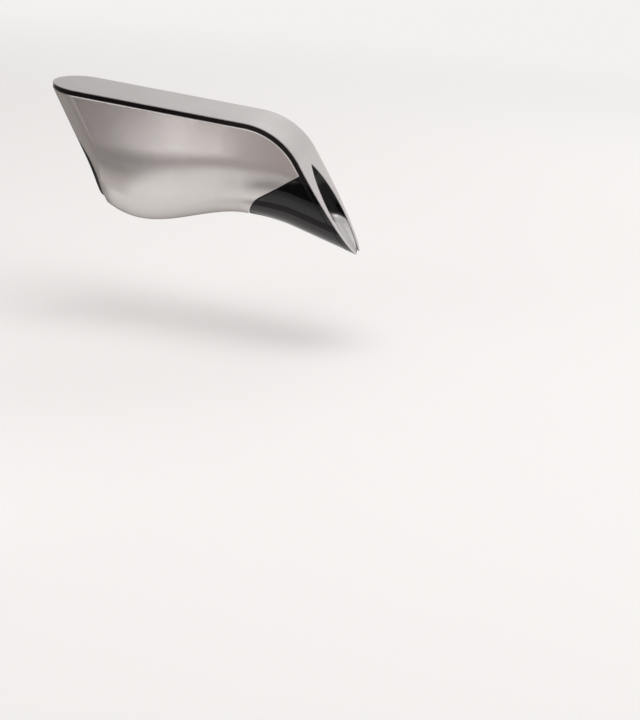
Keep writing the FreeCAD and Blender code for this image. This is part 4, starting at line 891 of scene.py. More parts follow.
@dataclass(frozen=True)
class Finish:
    """One real surface: its colours, gloss, and the size and height of its grain."""

    # Settings of the fine grain and the broad patches, and the part of their mean that is spread out.
    DETAIL = 2.0
    FINE_ROUGHNESS = 0.6
    BROAD_DETAIL = 3.0
    TINT_SPAN = (0.32, 0.68)
    GLOSS_SPAN = (0.3, 0.7)

    slot: str
    colour: str
    shade: str
    metallic: float
    roughness: float
    swing: float
    grain_mm: float
    relief_mm: float
    grain: Grain = Grain.EVEN
    patch_mm: float = 18.0
    ior: float = 1.5
    coat: float = 0.0
    coat_roughness: float = 0.03
    transmission: float = 0.0
    sheen: float = 0.0

    def material(self) -> bpy.types.Material:
        """The Blender material, made once.

        Returns:
            The material, with its nodes.
        """
        known = bpy.data.materials.get(self.slot + "_finish")
        if known:
            return known
        made = bpy.data.materials.new(self.slot + "_finish")
        made.use_nodes = True
        tree = made.node_tree
        tree.nodes.clear()
        place = add_node(tree, "ShaderNodeTexCoord").outputs["Object"]
        run = add_node(tree, "ShaderNodeMapping", {}, {"Vector": place, "Scale": self.grain.value})
        fine = add_node(tree, "ShaderNodeTexNoise", {"noise_dimensions": "3D"},
                        {"Vector": run.outputs["Vector"], "Scale": 1 / (self.grain_mm * MM),
                         "Detail": self.DETAIL, "Roughness": self.FINE_ROUGHNESS})
        broad = add_node(tree, "ShaderNodeTexNoise", {"noise_dimensions": "3D"},
                         {"Vector": place, "Scale": 1 / (self.patch_mm * MM), "Detail": self.BROAD_DETAIL})
        both = add_node(tree, "ShaderNodeMath", {"operation": "ADD"},
                        {0: fine.outputs["Fac"], 1: broad.outputs["Fac"]})
        share = add_node(tree, "ShaderNodeMath", {"operation": "DIVIDE"}, {0: both.outputs["Value"], 1: 2.0})
        spread = add_node(tree, "ShaderNodeMapRange", {"clamp": True},
                          {"Value": share.outputs["Value"], "From Min": self.TINT_SPAN[0],
                           "From Max": self.TINT_SPAN[1]})
        tint = add_node(tree, "ShaderNodeMix", {"data_type": "RGBA"},
                        {"Factor": spread.outputs["Result"], 6: linear(self.colour), 7: linear(self.shade)})
        gloss = add_node(tree, "ShaderNodeMapRange", {"clamp": True},
                         {"Value": share.outputs["Value"], "From Min": self.GLOSS_SPAN[0],
                          "From Max": self.GLOSS_SPAN[1], "To Min": self.roughness - self.swing,
                          "To Max": self.roughness + self.swing})
        relief = add_node(tree, "ShaderNodeBump", {},
                          {"Strength": 1.0, "Distance": self.relief_mm * MM, "Height": fine.outputs["Fac"]})
        shader = add_node(tree, "ShaderNodeBsdfPrincipled", {},
                          {"Base Color": tint.outputs[2], "Roughness": gloss.outputs["Result"],
                           "Normal": relief.outputs["Normal"], "Metallic": self.metallic, "IOR": self.ior,
                           "Coat Weight": self.coat, "Coat Roughness": self.coat_roughness,
                           "Transmission Weight": self.transmission, "Sheen Weight": self.sheen})
        add_node(tree, "ShaderNodeOutputMaterial", {}, {"Surface": shader.outputs["BSDF"]})
        return made


FINISHES = {finish.slot: finish for finish in (
    # Aluminium sheet, bead-blasted and clear anodised: an even pale grey with no visible direction.
    Finish("cover_anodised", "#A9A5A4", "#A29E9D", 1.0, 0.46, 0.03, 0.25, 0.002),
    # ABS, moulded in a polished tool: piano black, with the faint waviness of moulded plastic.
    Finish("gloss_black", "#08080A", "#0B0B0D", 0.0, 0.06, 0.02, 3.0, 0.002),
    # Aluminium, sprayed with a fine metallic lacquer: flakes a little larger than real, so they show.
    Finish("shell_satin", "#E3DFDD", "#D9D5D3", 0.85, 0.24, 0.04, 0.35, 0.006, coat=0.1,
           coat_roughness=0.15),
    # Stainless steel, pressed and buffed by hand: bright, with soft mottled reflections.
    Finish("lip_steel", "#A3A1A0", "#8E8C8B", 1.0, 0.18, 0.07, 1.6, 0.014, patch_mm=4.0),
    # ABS, moulded in a spark-eroded tool: dark, fine matt texture.
    Finish("liner_black", "#121213", "#0D0D0E", 0.0, 0.55, 0.06, 0.4, 0.010),
    # Silicone, compression moulded: soft black with a slight bloom on its ribs.
    Finish("silicone_black", "#161617", "#1C1C1D", 0.0, 0.52, 0.06, 0.6, 0.004, ior=1.41, sheen=0.15),
    # Glass-filled nylon, moulded: mid grey with short fibres in its skin.
    Finish("spigot_grey", "#4A4A4C", "#414143", 0.0, 0.42, 0.06, 0.5, 0.006, Grain.ALONG, ior=1.53),
    # Stainless tube and deep-drawn can: bright, drawn along its length.
    Finish("fine_steel", "#B9B8B6", "#A5A4A2", 1.0, 0.28, 0.05, 0.15, 0.002, Grain.ALONG),
    # Polycarbonate, moulded clear: a cool, slightly smoked tube.
    Finish("duct_clear", "#C9CFD2", "#BFC6CA", 0.0, 0.12, 0.03, 4.0, 0.004, ior=1.585, transmission=0.85),
    # Silicone, extruded clear: milky and soft.
    Finish("silicone_clear", "#D8D8D2", "#CFCFC8", 0.0, 0.32, 0.05, 2.0, 0.004, ior=1.41,
           transmission=0.5),
    # Acetal, moulded: waxy off-white.
    Finish("nylon_white", "#DAD9D2", "#D0CFC7", 0.0, 0.38, 0.05, 1.2, 0.004, ior=1.48),
    # Bronze powder, pressed and sintered: warm, open-grained metal.
    Finish("bronze", "#A9793F", "#8E6332", 1.0, 0.48, 0.08, 0.15, 0.006),
    # Ferrite, sintered: dark grey ceramic with a dry face.
    Finish("magnet_dark", "#3A3A3D", "#2E2E31", 0.0, 0.60, 0.08, 0.3, 0.008, ior=2.0),
    # Carbon, pressed: soft black blocks with a faint shine.
    Finish("carbon", "#1B1B1C", "#242425", 0.0, 0.50, 0.08, 0.2, 0.006),
    # Silicon steel, stamped and stacked: a line for each 0.35 mm sheet.
    Finish("lamination_steel", "#77777A", "#59595C", 1.0, 0.38, 0.08, 0.35, 0.010, Grain.ROUND),
    # Copper, drawn and turned: warm metal with turning marks.
    Finish("copper", "#C77F54", "#B06D45", 1.0, 0.30, 0.06, 0.12, 0.004, Grain.ROUND),
    # Nitrile rubber, moulded: dull black.
    Finish("rubber_dark", "#1C1C1D", "#161617", 0.0, 0.65, 0.06, 0.5, 0.008, sheen=0.1),
    # Glass-filled polyamide, moulded: charcoal with a grained skin.
    Finish("pump_plastic", "#2A2A2D", "#232326", 0.0, 0.48, 0.06, 0.4, 0.008),
    # Zinc-plated steel, rolled and headed: pale, with small bright spots.
    Finish("screw_steel", "#B0B0B2", "#96969A", 1.0, 0.32, 0.08, 0.2, 0.004),
    # Glass-filled polyamide, moulded: dark grey frame with flow marks.
    Finish("frame_plastic", "#37373A", "#2F2F32", 0.0, 0.50, 0.06, 0.6, 0.010),
    # Fibreglass board under green solder mask: the weave just shows through.
    Finish("board_green", "#14532F", "#104627", 0.0, 0.30, 0.06, 0.45, 0.006, coat=0.3),
    # Epoxy, transfer moulded: matt black chip bodies.
    Finish("chip_black", "#1A1A1B", "#222223", 0.0, 0.58, 0.05, 0.12, 0.004),
    # Polycarbonate with diffuser pigment: glowing white when lit, chalky when not.
    Finish("light_white", "#EDECE4", "#E2E1D8", 0.0, 0.35, 0.04, 0.8, 0.002, transmission=0.2),
    # Aluminium-polymer pouch, pressed: crinkled silver foil.
    Finish("battery_foil", "#B4B6BA", "#9EA0A4", 1.0, 0.36, 0.08, 2.4, 0.060),
    # Polyurethane foam, cut: open grey cells.
    Finish("foam_grey", "#5B5B5C", "#48484A", 0.0, 0.90, 0.05, 0.5, 0.080, sheen=0.3),
    # Polyimide film with copper behind it: amber, slick.
    Finish("foil_amber", "#A8621E", "#965517", 0.0, 0.25, 0.05, 1.5, 0.004, coat=0.2),
    # Silicone-insulated wire: red, slightly powdery.
    Finish("lead_red", "#8E1712", "#7B120E", 0.0, 0.48, 0.05, 0.3, 0.004),
)}


# ------------------------------------------------------------------------------------ outer skins
@dataclass(frozen=True)
class SkinMaker:
    """Makes the raw skins that outer pieces are cut from."""

    form: BodyForm = FORM
    hull_end: float = 106.0
    arc_rows: int = 56
    rear_columns: int = 72
    overhang: float = 1.5
    sheet_columns: int = 54
    dish_half_width: float = 9.0
    mouth_out: float = 6.0
    mouth_in: float = 12.0
    mouth_rows: int = 25
    mouth_columns: int = 64

    @property
    def heights(self) -> np.ndarray:
        """Shares from the skins' top down to where the straight sides end."""
        rows = round((self.form.skin_top - self.form.side_rise) / self.form.pitch)
        return np.linspace(0.0, 1.0, rows, endpoint=False)

    def hull(self, start: float, end: float) -> Skin:
        """Sides and underside between two stations.

        Args:
            start: first station.
            end: last station.

        Returns:
            The skin, from one side's top round to the other's.
        """
        form = self.form
        x = np.linspace(start, end, round((end - start) / form.pitch) + 1)
        knee, foot, power = form.side_end(x), form.underside(x), 2 / form.fullness(x)
        rows = [(np.full_like(x, form.half_width), form.skin_top + (knee - form.skin_top) * share)
                for share in self.heights]
        for angle in np.linspace(0.0, HALF_TURN / 2, self.arc_rows + 1):
            wide = max(math.cos(angle), 0.0) ** power * form.half_width
            rows.append((wide, knee + (foot - knee) * math.sin(angle) ** power))
        right = np.array([np.stack([x, y, z], 1) for y, z in rows])
        right[-1, :, 1] = 0.0
        left = right[-2::-1] * np.array([1.0, -1.0, 1.0])
        grid = np.concatenate([right, left])
        return Skin.from_grid(grid, lambda points: points * np.array([0.0, 1.0, 1.0]))

    def rear(self, slanted: bool) -> Skin:
        """Rounded rear end.

        Args:
            slanted: whether it leans forward below the seam, as the shell's does.

        Returns:
            The skin.
        """
        form = self.form
        z = form.skin_top + (form.side_rise - form.skin_top) * self.heights
        if slanted:
            z = np.concatenate([z, np.arange(form.side_rise, -form.belly_depth - form.pitch, -form.pitch)])
        angle = np.linspace(0.0, HALF_TURN, self.rear_columns + 1)
        x = form.rear_centre(z, slanted)[:, None] - form.rear_round * np.sin(angle)[None]
        y = np.broadcast_to(form.half_width * np.cos(angle), x.shape)
        grid = np.stack([x, y, np.broadcast_to(z[:, None], x.shape)], 2)
        return Skin.from_grid(grid, lambda points: points * 0 - np.array([1.0, 0.0, 0.0]))

    def sheet(self, line: BentLine, depth: float, back: float, ahead: float, hollow: float = 0.0) -> Skin:
        """A sheet right across the body.

        Args:
            line: what the sheet follows.
            depth: distance of its face under the line.
            back: how far it goes back from the start of the line's arc.
            ahead: how far it goes on from the end of the arc.
            hollow: how far the middle is dished below the sides.

        Returns:
            The skin.
        """
        form = self.form
        length = back + line.bend + ahead
        run = np.linspace(-back, line.bend + ahead, round(length / form.pitch) + 1)
        edge = form.half_width + self.overhang
        side = np.linspace(-edge, edge, self.sheet_columns)
        dish = hollow * np.maximum(1 - (side / self.dish_half_width) ** 2, 0.0) ** 2
        rows = line.places(run, depth)
        inward = line.places(run, depth + 1.0) - rows
        grid = rows[:, None] + np.stack([0 * side, side, 0 * side], 1)[None]
        grid = grid + inward[:, None] * dish[None, :, None]
        return Skin.from_grid(grid, lambda points: points * 0 + np.array([0.5, 0.0, 1.0]))

    def mouth_wall(self, side: float) -> Skin:
        """Inner wall of the leaf-shaped mouth.

        Args:
            side: 1 for the half at +Y and -1 for the other.

        Returns:
            The skin, an arc of the leaf carried into the nose.
        """
        form = self.form
        reach = math.acos(form.leaf_offset / form.leaf_radius)
        grid = np.array([[form.face_point(form.leaf_centre + form.leaf_radius * math.sin(turn), deep,
                                          side * (form.leaf_radius * math.cos(turn) - form.leaf_offset))
                          for turn in np.linspace(-reach, reach, self.mouth_columns)]
                         for deep in np.linspace(-self.mouth_out, self.mouth_in, self.mouth_rows)])
        return Skin.from_grid(grid, lambda points: points * np.array([0.0, -1.0, 0.0]))


@dataclass(frozen=True)
class CoverAndBand:
    """The bent cover plate and the black frame under it."""

    form: BodyForm = FORM
    skins: SkinMaker = SkinMaker()
    back_reach: float = 105.0
    front_reach: float = 62.0
    cover_edge: float = 0.14
    band_edge: float = 0.15
    rim_wall: float = 2.0
    rim_tip: float = 0.96
    deck_wall: float = 0.8
    deck_inset: float = 0.6
    collar_wall: float = 1.6
    collar_gap: float = 0.1
    collar_inset: float = 0.3
    collar_clear: float = 0.2
    boss_radius: float = 2.2
    boss_bore: float = 0.76
    boss_edge: float = 0.2
    boss_gap: float = 0.2
    boss_side: float = 16.5
    boss_stations: tuple[float, float] = (-18.0, 44.0)
    boss_foot: float = 18.35

    def cover(self) -> None:
        """Bent plate with the leaf-shaped mouth."""
        form = self.form
        rims = [Rim(lambda points: form.outline(points) - form.inset, self.cover_edge),
                Rim(form.outside_leaf, self.cover_edge), Rim(form.behind_tip, self.cover_edge)]
        shape = Shape()
        plate = self.skins.sheet(form.cover, 0.0, self.back_reach, self.front_reach)
        wall_from(plate, shape, form.cover_wall, rims, form.inside)
        shape.build("cover_plate", FINISHES["cover_anodised"], Body.HEAD, "top_cover")

    def band(self) -> None:
        """Rim, deck, collar of the mouth and screw bosses."""
        form = self.form
        shape = Shape()
        top, foot = form.cover_wall, form.cover_wall + form.band_height
        low_rim = Rim(lambda points: foot - form.cover.depth(points), self.band_edge)
        end_rim = Rim(lambda points: form.behind_tip(points) - self.rim_tip, self.band_edge)
        mouth_rim = Rim(form.outside_leaf, self.band_edge)
        rims = [Rim(lambda points: form.cover.depth(points) - top, self.band_edge), low_rim, end_rim,
                mouth_rim]
        hull = self.skins.hull(form.rear_round - form.reach_back, self.skins.hull_end)
        wall_from(hull.joined(self.skins.rear(False)), shape, self.rim_wall, rims,
                  lambda points: np.minimum(form.cover.depth(points) - top, form.outside_leaf(points)))
        rims = [Rim(lambda points: form.outline(points) - self.deck_inset), mouth_rim,
                Rim(form.behind_tip, self.band_edge)]
        wall_from(self.skins.sheet(form.cover, top, self.back_reach, self.front_reach), shape,
                  self.deck_wall, rims)
        rims = [Rim(lambda points: form.cover.depth(points) - top - self.collar_gap), low_rim, end_rim,
                Rim(lambda points: form.inside(points) - self.collar_inset)]
        for side in (-1.0, 1.0):
            wall_from(self.skins.mouth_wall(side), shape, self.collar_wall, rims,
                      lambda points: form.inside(points) - self.collar_clear)
        for station in self.boss_stations:
            for side in (-self.boss_side, self.boss_side):
                self.boss(shape, station, side)
        shape.build("band_frame", FINISHES["gloss_black"], Body.HEAD, "bezel_frame")

    def boss(self, shape: Shape, station: float, side: float) -> None:
        """One upright screw boss: turned along X, then mirrored so that X and Z change places.

        Args:
            shape: what takes the boss in.
            station: its place along the body.
            side: its place across the body.
        """
        form = self.form
        face = form.cover_rise - station * math.tan(math.radians(form.cover_slope))
        under = face - form.cover_wall - self.boss_gap
        turned = Shape()
        Lathe(steps=32).turn(turned, [(self.boss_foot, self.boss_bore, 0.0), (under, self.boss_bore, 0.0),
                                      (under, self.boss_radius, 0.0),
                                      (self.boss_foot, self.boss_radius, self.boss_edge)])
        points = np.concatenate(turned.points)[:, ::-1] + np.array([station, side, 0.0])
        vectors: list[np.ndarray] = []
        place = 0
        for face_corners in turned.faces:
            after = place + len(face_corners)
            vectors.extend(vector[::-1] for vector in turned.normals[place:after][::-1])
            place = after
        shape.add(points, [face_corners[::-1] for face_corners in turned.faces], vectors)

    def build(self) -> None:
        """Make both pieces."""
        self.cover()
        self.band()


@dataclass(frozen=True)
class MetalShell:
    """The satin shell with its slanted rear wall and the charging port."""

    form: BodyForm = FORM
    skins: SkinMaker = SkinMaker()
    wall: float = 1.6
    hull_start: float = -32.5
    hull_end: float = 95.0
    seam_slack: float = 1e-4
    top_edge: float = 0.62
    joint_edge: float = 0.55
    opening_radius: float = 17.22
    opening_edge: float = 0.25
    port_half_width: float = 4.7
    port_low: float = 22.55
    port_high: float = 26.25
    port_edge: float = 0.3

    def port(self, points: Points) -> np.ndarray:
        """Distance outside the charging port's slot.

        Args:
            points: where it is wanted.

        Returns:
            One distance for each point, negative within the slot.
        """
        half = (self.port_high - self.port_low) / 2
        across = np.maximum(np.abs(points[:, 1]) - self.port_half_width + half, 0.0)
        return np.hypot(across, points[:, 2] - self.port_low - half) - half

    def build(self) -> None:
        """Sides, underside and rear wall."""
        form = self.form
        shape = Shape()
        under_band = Rim(lambda points: form.cover.depth(points) - form.shell_depth, self.top_edge)
        joint = Rim(lambda points: -form.joint.depth(points) - form.joint_gap / 2, self.joint_edge)
        hull = self.skins.hull(self.hull_start, self.hull_end)
        wall_from(hull, shape, self.wall, [under_band, joint, Rim(form.ahead_of_rear)])
        opening = Rim(lambda points: np.hypot(points[:, 1], points[:, 2]) - self.opening_radius,
                      self.opening_edge)
        rims = [under_band, Rim(lambda points: form.inside(points) + self.seam_slack), opening,
                Rim(self.port, self.port_edge)]
        wall_from(self.skins.rear(True), shape, self.wall, rims)
        shape.build("shell_skin", FINISHES["shell_satin"], Body.HEAD, "outer_shell")


@dataclass(frozen=True)
class Nose:
    """The black nose with its pouring chamber, and the steel lip in it."""

    form: BodyForm = FORM
    skins: SkinMaker = SkinMaker()
    hull_start: float = 30.0
    wall: float = 1.8
    joint_edge: float = 0.3
    edge: float = 0.2
    mouth_edge: float = 0.1
    skin_rise: float = 0.3
    clearance: float = 0.2
    top_wall: float = 1.2
    top_inset: float = 0.4
    top_back: float = 5.0
    top_ahead: float = 62.0
    top_lap: float = 6.0
    bulkhead: float = 71.0
    chamber_depth: float = 10.0
    chamber_wall: float = 1.4
    chamber_lap: float = 0.6
    wall_over_lip: float = 1.0
    floor_wall: float = 1.2
    floor_over_lip: float = 1.2
    floor_margin: float = 0.7
    floor_reach: tuple[float, float] = (-4.0, 30.0)
    floor_half_width: float = 16.0
    floor_rows: int = 44
    floor_columns: int = 42
    duct_corner: float = 66.7
    duct_radius: float = 6.15
    lip_wall: float = 2.8
    lip_play: float = 0.15
    lip_hollow: float = 0.5
    lip_back: float = 30.0
    lip_ahead: float = 40.0
    lip_edge: float = 0.3
    lip_tip_edge: float = 0.25

    def under_lip(self, points: Points) -> np.ndarray:
        """Distance under the lip."""
        return self.form.lip.depth(points) - self.lip_wall - self.lip_play

    def clear_of_mouth(self, points: Points) -> np.ndarray:
        """Positive outside the leaf or under the lip."""
        return np.maximum(self.form.outside_leaf(points), self.under_lip(points))

    def off_duct(self, points: Points) -> np.ndarray:
        """Distance from the duct's outlet.

        Args:
            points: where it is wanted.

        Returns:
            One distance for each point, negative within the hole.
        """
        offset = points - np.array([self.duct_corner, 0.0, 0.0])
        heading = along(self.form.lip_slope)
        across = offset - (offset @ heading)[:, None] * heading
        return np.linalg.norm(across, axis=1) - self.duct_radius

    def under_shell_top(self, points: Points) -> np.ndarray:
        """Distance under the height of the shell's upper edge."""
        return self.form.cover.depth(points) - self.form.shell_depth

    def within_sides(self, points: Points) -> np.ndarray:
        """Positive well inside the hull."""
        return self.form.inside(points) - self.clearance

    def outer_skin(self, shape: Shape) -> None:
        """Sides and underside, as far as the joint with the shell.

        Args:
            shape: what takes the wall in.
        """
        form = self.form
        rims = [Rim(self.under_shell_top, self.edge),
                Rim(lambda points: form.joint.depth(points) - form.joint_gap / 2, self.joint_edge),
                Rim(form.behind_tip, self.edge), Rim(self.clear_of_mouth, self.mouth_edge)]
        wall_from(self.skins.hull(self.hull_start, self.skins.hull_end), shape, self.wall, rims,
                  lambda points: np.minimum(self.under_shell_top(points) + self.skin_rise,
                                            self.clear_of_mouth(points)))

    def top(self, shape: Shape) -> None:
        """Wall under the black band.

        Args:
            shape: what takes the wall in.
        """
        form = self.form
        rims = [Rim(lambda points: form.inside(points) - self.top_inset),
                Rim(form.outside_leaf, self.mouth_edge), Rim(form.behind_tip, self.edge),
                Rim(lambda points: points[:, 0] - self.bulkhead + self.top_lap)]
        sheet = self.skins.sheet(form.cover, form.shell_depth, self.top_back, self.top_ahead)
        wall_from(sheet, shape, self.top_wall, rims, self.within_sides)

    def chamber(self, shape: Shape) -> None:
        """Side walls of the pouring chamber and its floor, with the duct's hole.

        Args:
            shape: what takes the walls in.
        """
        form = self.form
        rims = [Rim(self.under_shell_top, self.edge),
                Rim(lambda points: self.wall_over_lip - form.lip.depth(points)),
                Rim(form.behind_tip, self.edge),
                Rim(lambda points: self.chamber_depth + self.chamber_lap - form.deep(points))]
        for side in (-1.0, 1.0):
            wall_from(self.skins.mouth_wall(side), shape, self.chamber_wall, rims, self.within_sides)
        across = np.linspace(-self.floor_half_width, self.floor_half_width, self.floor_columns)
        down = np.linspace(*self.floor_reach, self.floor_rows)
        grid = np.array([[form.face_point(run, self.chamber_depth, side) for side in across] for run in down])
        rims = [Rim(lambda points: -form.outside_leaf(points, self.floor_margin)),
                Rim(self.off_duct, self.edge),
                Rim(lambda points: self.floor_over_lip - form.lip.depth(points))]
        floor = Skin.from_grid(grid, lambda points: points * 0 - into(form.front_slope))
        wall_from(floor, shape, self.floor_wall, rims)

    def lip(self) -> None:
        """Steel lip, slightly dished, from the chamber to the tip."""
        form = self.form
        shape = Shape()
        rims = [Rim(lambda points: -form.outside_leaf(points, -self.lip_play), self.lip_edge),
                Rim(form.behind_tip, self.lip_tip_edge),
                Rim(lambda points: self.chamber_depth - self.lip_play - form.deep(points), self.edge)]
        skin = self.skins.sheet(form.lip, 0.0, self.lip_back, self.lip_ahead, self.lip_hollow)
        wall_from(skin, shape, self.lip_wall - self.lip_hollow, rims, form.inside)
        shape.build("lip_plate", FINISHES["lip_steel"], Body.HEAD, "pour_lip")

    def build(self) -> None:
        """Make both pieces."""
        shape = Shape()
        self.outer_skin(shape)
        self.top(shape)
        self.chamber(shape)
        shape.build("nose_body", FINISHES["gloss_black"], Body.HEAD, "spout_body")
        self.lip()


@dataclass(frozen=True)
class NeckLiner:
    """The black tube round the bottle's neck, with its end wall."""

    form: BodyForm = FORM
    bore: float = 15.6
    wall: float = 1.5
    start: float = -44.0
    end_start: float = 3.9
    end_wall: float = 1.8
    socket: float = 6.6
    rim_edge: float = 0.4
    edge: float = 0.3
    rows: int = 60
    columns: int = 120

    def build(self) -> None:
        """Tube cut off flush with the slanted rear wall, and the end wall."""
        x = np.linspace(self.start, self.end_start, self.rows)[:, None]
        angle = np.linspace(0.0, TURN, self.columns, endpoint=False)
        grid = np.stack(np.broadcast_arrays(x, self.bore * np.cos(angle), self.bore * np.sin(angle)), 2)
        skin = Skin.from_grid(grid, lambda points: points * np.array([0.0, -1.0, -1.0]), wrap=True)
        shape = Shape()
        rims = [Rim(self.form.ahead_of_rear, self.rim_edge),
                Rim(lambda points: self.end_start - points[:, 0])]
        wall_from(skin, shape, self.wall, rims)
        end = self.end_start + self.end_wall
        outer = self.bore + self.wall
        Lathe().turn(shape, [(self.end_start, self.socket, self.edge), (end, self.socket, self.edge),
                             (end, outer, self.edge), (self.end_start, outer, 0.0)])
        shape.build("liner_tube", FINISHES["liner_black"], Body.HEAD, "neck_liner")


@dataclass(frozen=True)
class StopperCartridge:
    """Spigot, ribbed seal, seat gasket, O-ring and vent tube, which pull out together."""

    spigot_radius: float = 6.5
    wine_bore: float = 4.5
    seal_length: float = 21.0
    seal_core: float = 8.2
    seal_radius: float = 9.4
    rib_pitch: float = 4.75
    rib_land: float = 2.0
    rib_flank: float = 0.7
    ribs: int = 4
    tail: float = 3.0
    nose: float = 12.0
    gasket: float = 1.6
    flange_radius: float = 14.2
    flange_wall: float = 1.8
    ring_station: float = 9.4
    ring_section: float = 0.66
    vent_rise: float = 3.5
    vent_radius: float = 1.0
    vent_bore: float = 0.7
    vent_tail: float = 28.0
    soft_edge: float = 0.5
    rib_edge: float = 0.35
    edge: float = 0.3
    gasket_edge: float = 0.2
    groove_edge: float = 0.1
    groove_depth_share: float = 1.9
    groove_half_share: float = 1.15
    ring_sink_share: float = 0.9
    vent_edge: float = 0.12
    vent_bore_edge: float = 0.05

    def seal(self) -> None:
        """Soft core with flat-topped ribs."""
        corners = [(-self.seal_length, self.spigot_radius, 0.0),
                   (-self.seal_length, self.seal_core, self.soft_edge)]
        for index in reversed(range(self.ribs)):
            end = -self.rib_pitch * index
            corners.append((end - self.rib_land - self.rib_flank, self.seal_core, self.soft_edge))
            corners.append((end - self.rib_land, self.seal_radius, self.rib_edge))
            corners.append((end, self.seal_radius, self.rib_edge))
            if index:
                corners.append((end + self.rib_flank, self.seal_core, self.soft_edge))
        corners.append((0.0, self.spigot_radius, 0.0))
        shape = Shape()
        Lathe().turn(shape, corners)
        shape.build("stopper_ribs", FINISHES["silicone_black"], Body.STOPPER, "stopper_seal")

    def spigot(self) -> None:
        """Tube with a flange and an O-ring groove."""
        flange = self.gasket + self.flange_wall
        floor = self.spigot_radius - self.ring_section * self.groove_depth_share
        half = self.ring_section * self.groove_half_share
        groove = (self.ring_station - half, self.ring_station + half)
        start = -self.seal_length - self.tail
        corners = [(start, self.wine_bore, self.edge), (self.nose, self.wine_bore, self.edge),
                   (self.nose, self.spigot_radius, self.soft_edge),
                   (groove[1], self.spigot_radius, self.groove_edge), (groove[1], floor, self.groove_edge),
                   (groove[0], floor, self.groove_edge), (groove[0], self.spigot_radius, self.groove_edge),
                   (flange, self.spigot_radius, self.edge), (flange, self.flange_radius, self.edge),
                   (self.gasket, self.flange_radius, self.edge), (self.gasket, self.spigot_radius, 0.0),
                   (start, self.spigot_radius, self.soft_edge)]
        shape = Shape()
        Lathe().turn(shape, corners)
        shape.build("spigot_tube", FINISHES["spigot_grey"], Body.STOPPER, "stopper_spigot")

    def rings(self) -> None:
        """Seat gasket and O-ring."""
        shape = Shape()
        Lathe().turn(shape, [(0.0, self.spigot_radius, self.gasket_edge),
                             (self.gasket, self.spigot_radius, 0.0), (self.gasket, self.flange_radius, 0.0),
                             (0.0, self.flange_radius, self.soft_edge)])
        shape.build("gasket_ring", FINISHES["silicone_black"], Body.STOPPER, "seat_gasket")
        shape = Shape()
        middle = self.spigot_radius - self.ring_section * self.ring_sink_share
        half = self.ring_section
        corners = [(self.ring_station + half * x, middle + half * r, half)
                   for x, r in ((-1.0, -1.0), (1.0, -1.0), (1.0, 1.0), (-1.0, 1.0))]
        Lathe(arc_steps=8).turn(shape, corners)
        shape.build("spigot_ring", FINISHES["silicone_black"], Body.STOPPER, "spigot_o_ring")

    def vent(self) -> None:
        """Thin steel tube that lets air back into the bottle."""
        shape = Shape()
        corners = [(-self.vent_tail, self.vent_bore, self.vent_bore_edge),
                   (self.nose, self.vent_bore, self.vent_bore_edge),
                   (self.nose, self.vent_radius, self.vent_edge),
                   (-self.vent_tail, self.vent_radius, self.vent_edge)]
        Lathe(up=self.vent_rise, steps=40).turn(shape, corners)
        shape.build("vent_pipe", FINISHES["fine_steel"], Body.STOPPER, "vent_tube")

    def build(self) -> None:
        """Make all five pieces."""
        self.seal()
        self.spigot()
        self.rings()
        self.vent()


@dataclass(frozen=True)
class InnerWorks:
    """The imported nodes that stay: pump, motor, duct, frame and electronics."""

    def build(self) -> None:
        """Give each node that still shows its own finish."""
        slots = {part["node"]: part["material_slot"] for part in frame["record"]["subparts"]}
        for name, node in frame["nodes"].items():
            if node.hide_render:
                continue
            finish = FINISHES[slots[name]].material()
            if not node.material_slots:
                node.data.materials.append(finish)
            for slot in node.material_slots:
                slot.material = finish
            LOG.info("%s: %s", name, finish.name)


# ------------------------------------------------------------------------------------ studio
# Metres: the floor's height, how far cards lie above it, and the point that the lamps face.
FLOOR = -0.075
CARD_LIFT = 0.0005
AIM = np.array([0.03, 0.0, 0.0])
Corner = tuple[float, float, float]


def placed(place: Sequence[float], right: Sequence[float], up: Sequence[float],
           back: Sequence[float]) -> Matrix:
    """Matrix of an object.

    Args:
        place: where it is.
        right: its own X axis.
        up: its own Y axis.
        back: its own Z axis, away from where it looks.

    Returns:
        The matrix.
    """
    rows = [[right[row], up[row], back[row], place[row]] for row in range(3)]
    return Matrix(rows + [[0.0, 0.0, 0.0, 1.0]])


@dataclass(frozen=True)
class Softbox:
    """An area lamp, aimed at the part."""

    name: str
    place: Corner
    size: tuple[float, float]
    power: float
    hidden: bool = False

    def build(self) -> None:
        """Hang the lamp."""
        data = bpy.data.lights.new(self.name, "AREA")
        data.shape = "RECTANGLE"
        data.size, data.size_y = self.size
        data.energy = self.power
        lamp = bpy.data.objects.new(self.name, data)
        lamp.visible_camera = not self.hidden
        place = np.array(self.place)
        back = (place - AIM) / np.linalg.norm(place - AIM)
        right = np.cross([0.0, 0.0, 1.0], back)
        right = right / np.linalg.norm(right)
        lamp.matrix_world = placed(place, right, np.cross(back, right), back)
        bpy.context.scene.collection.objects.link(lamp)


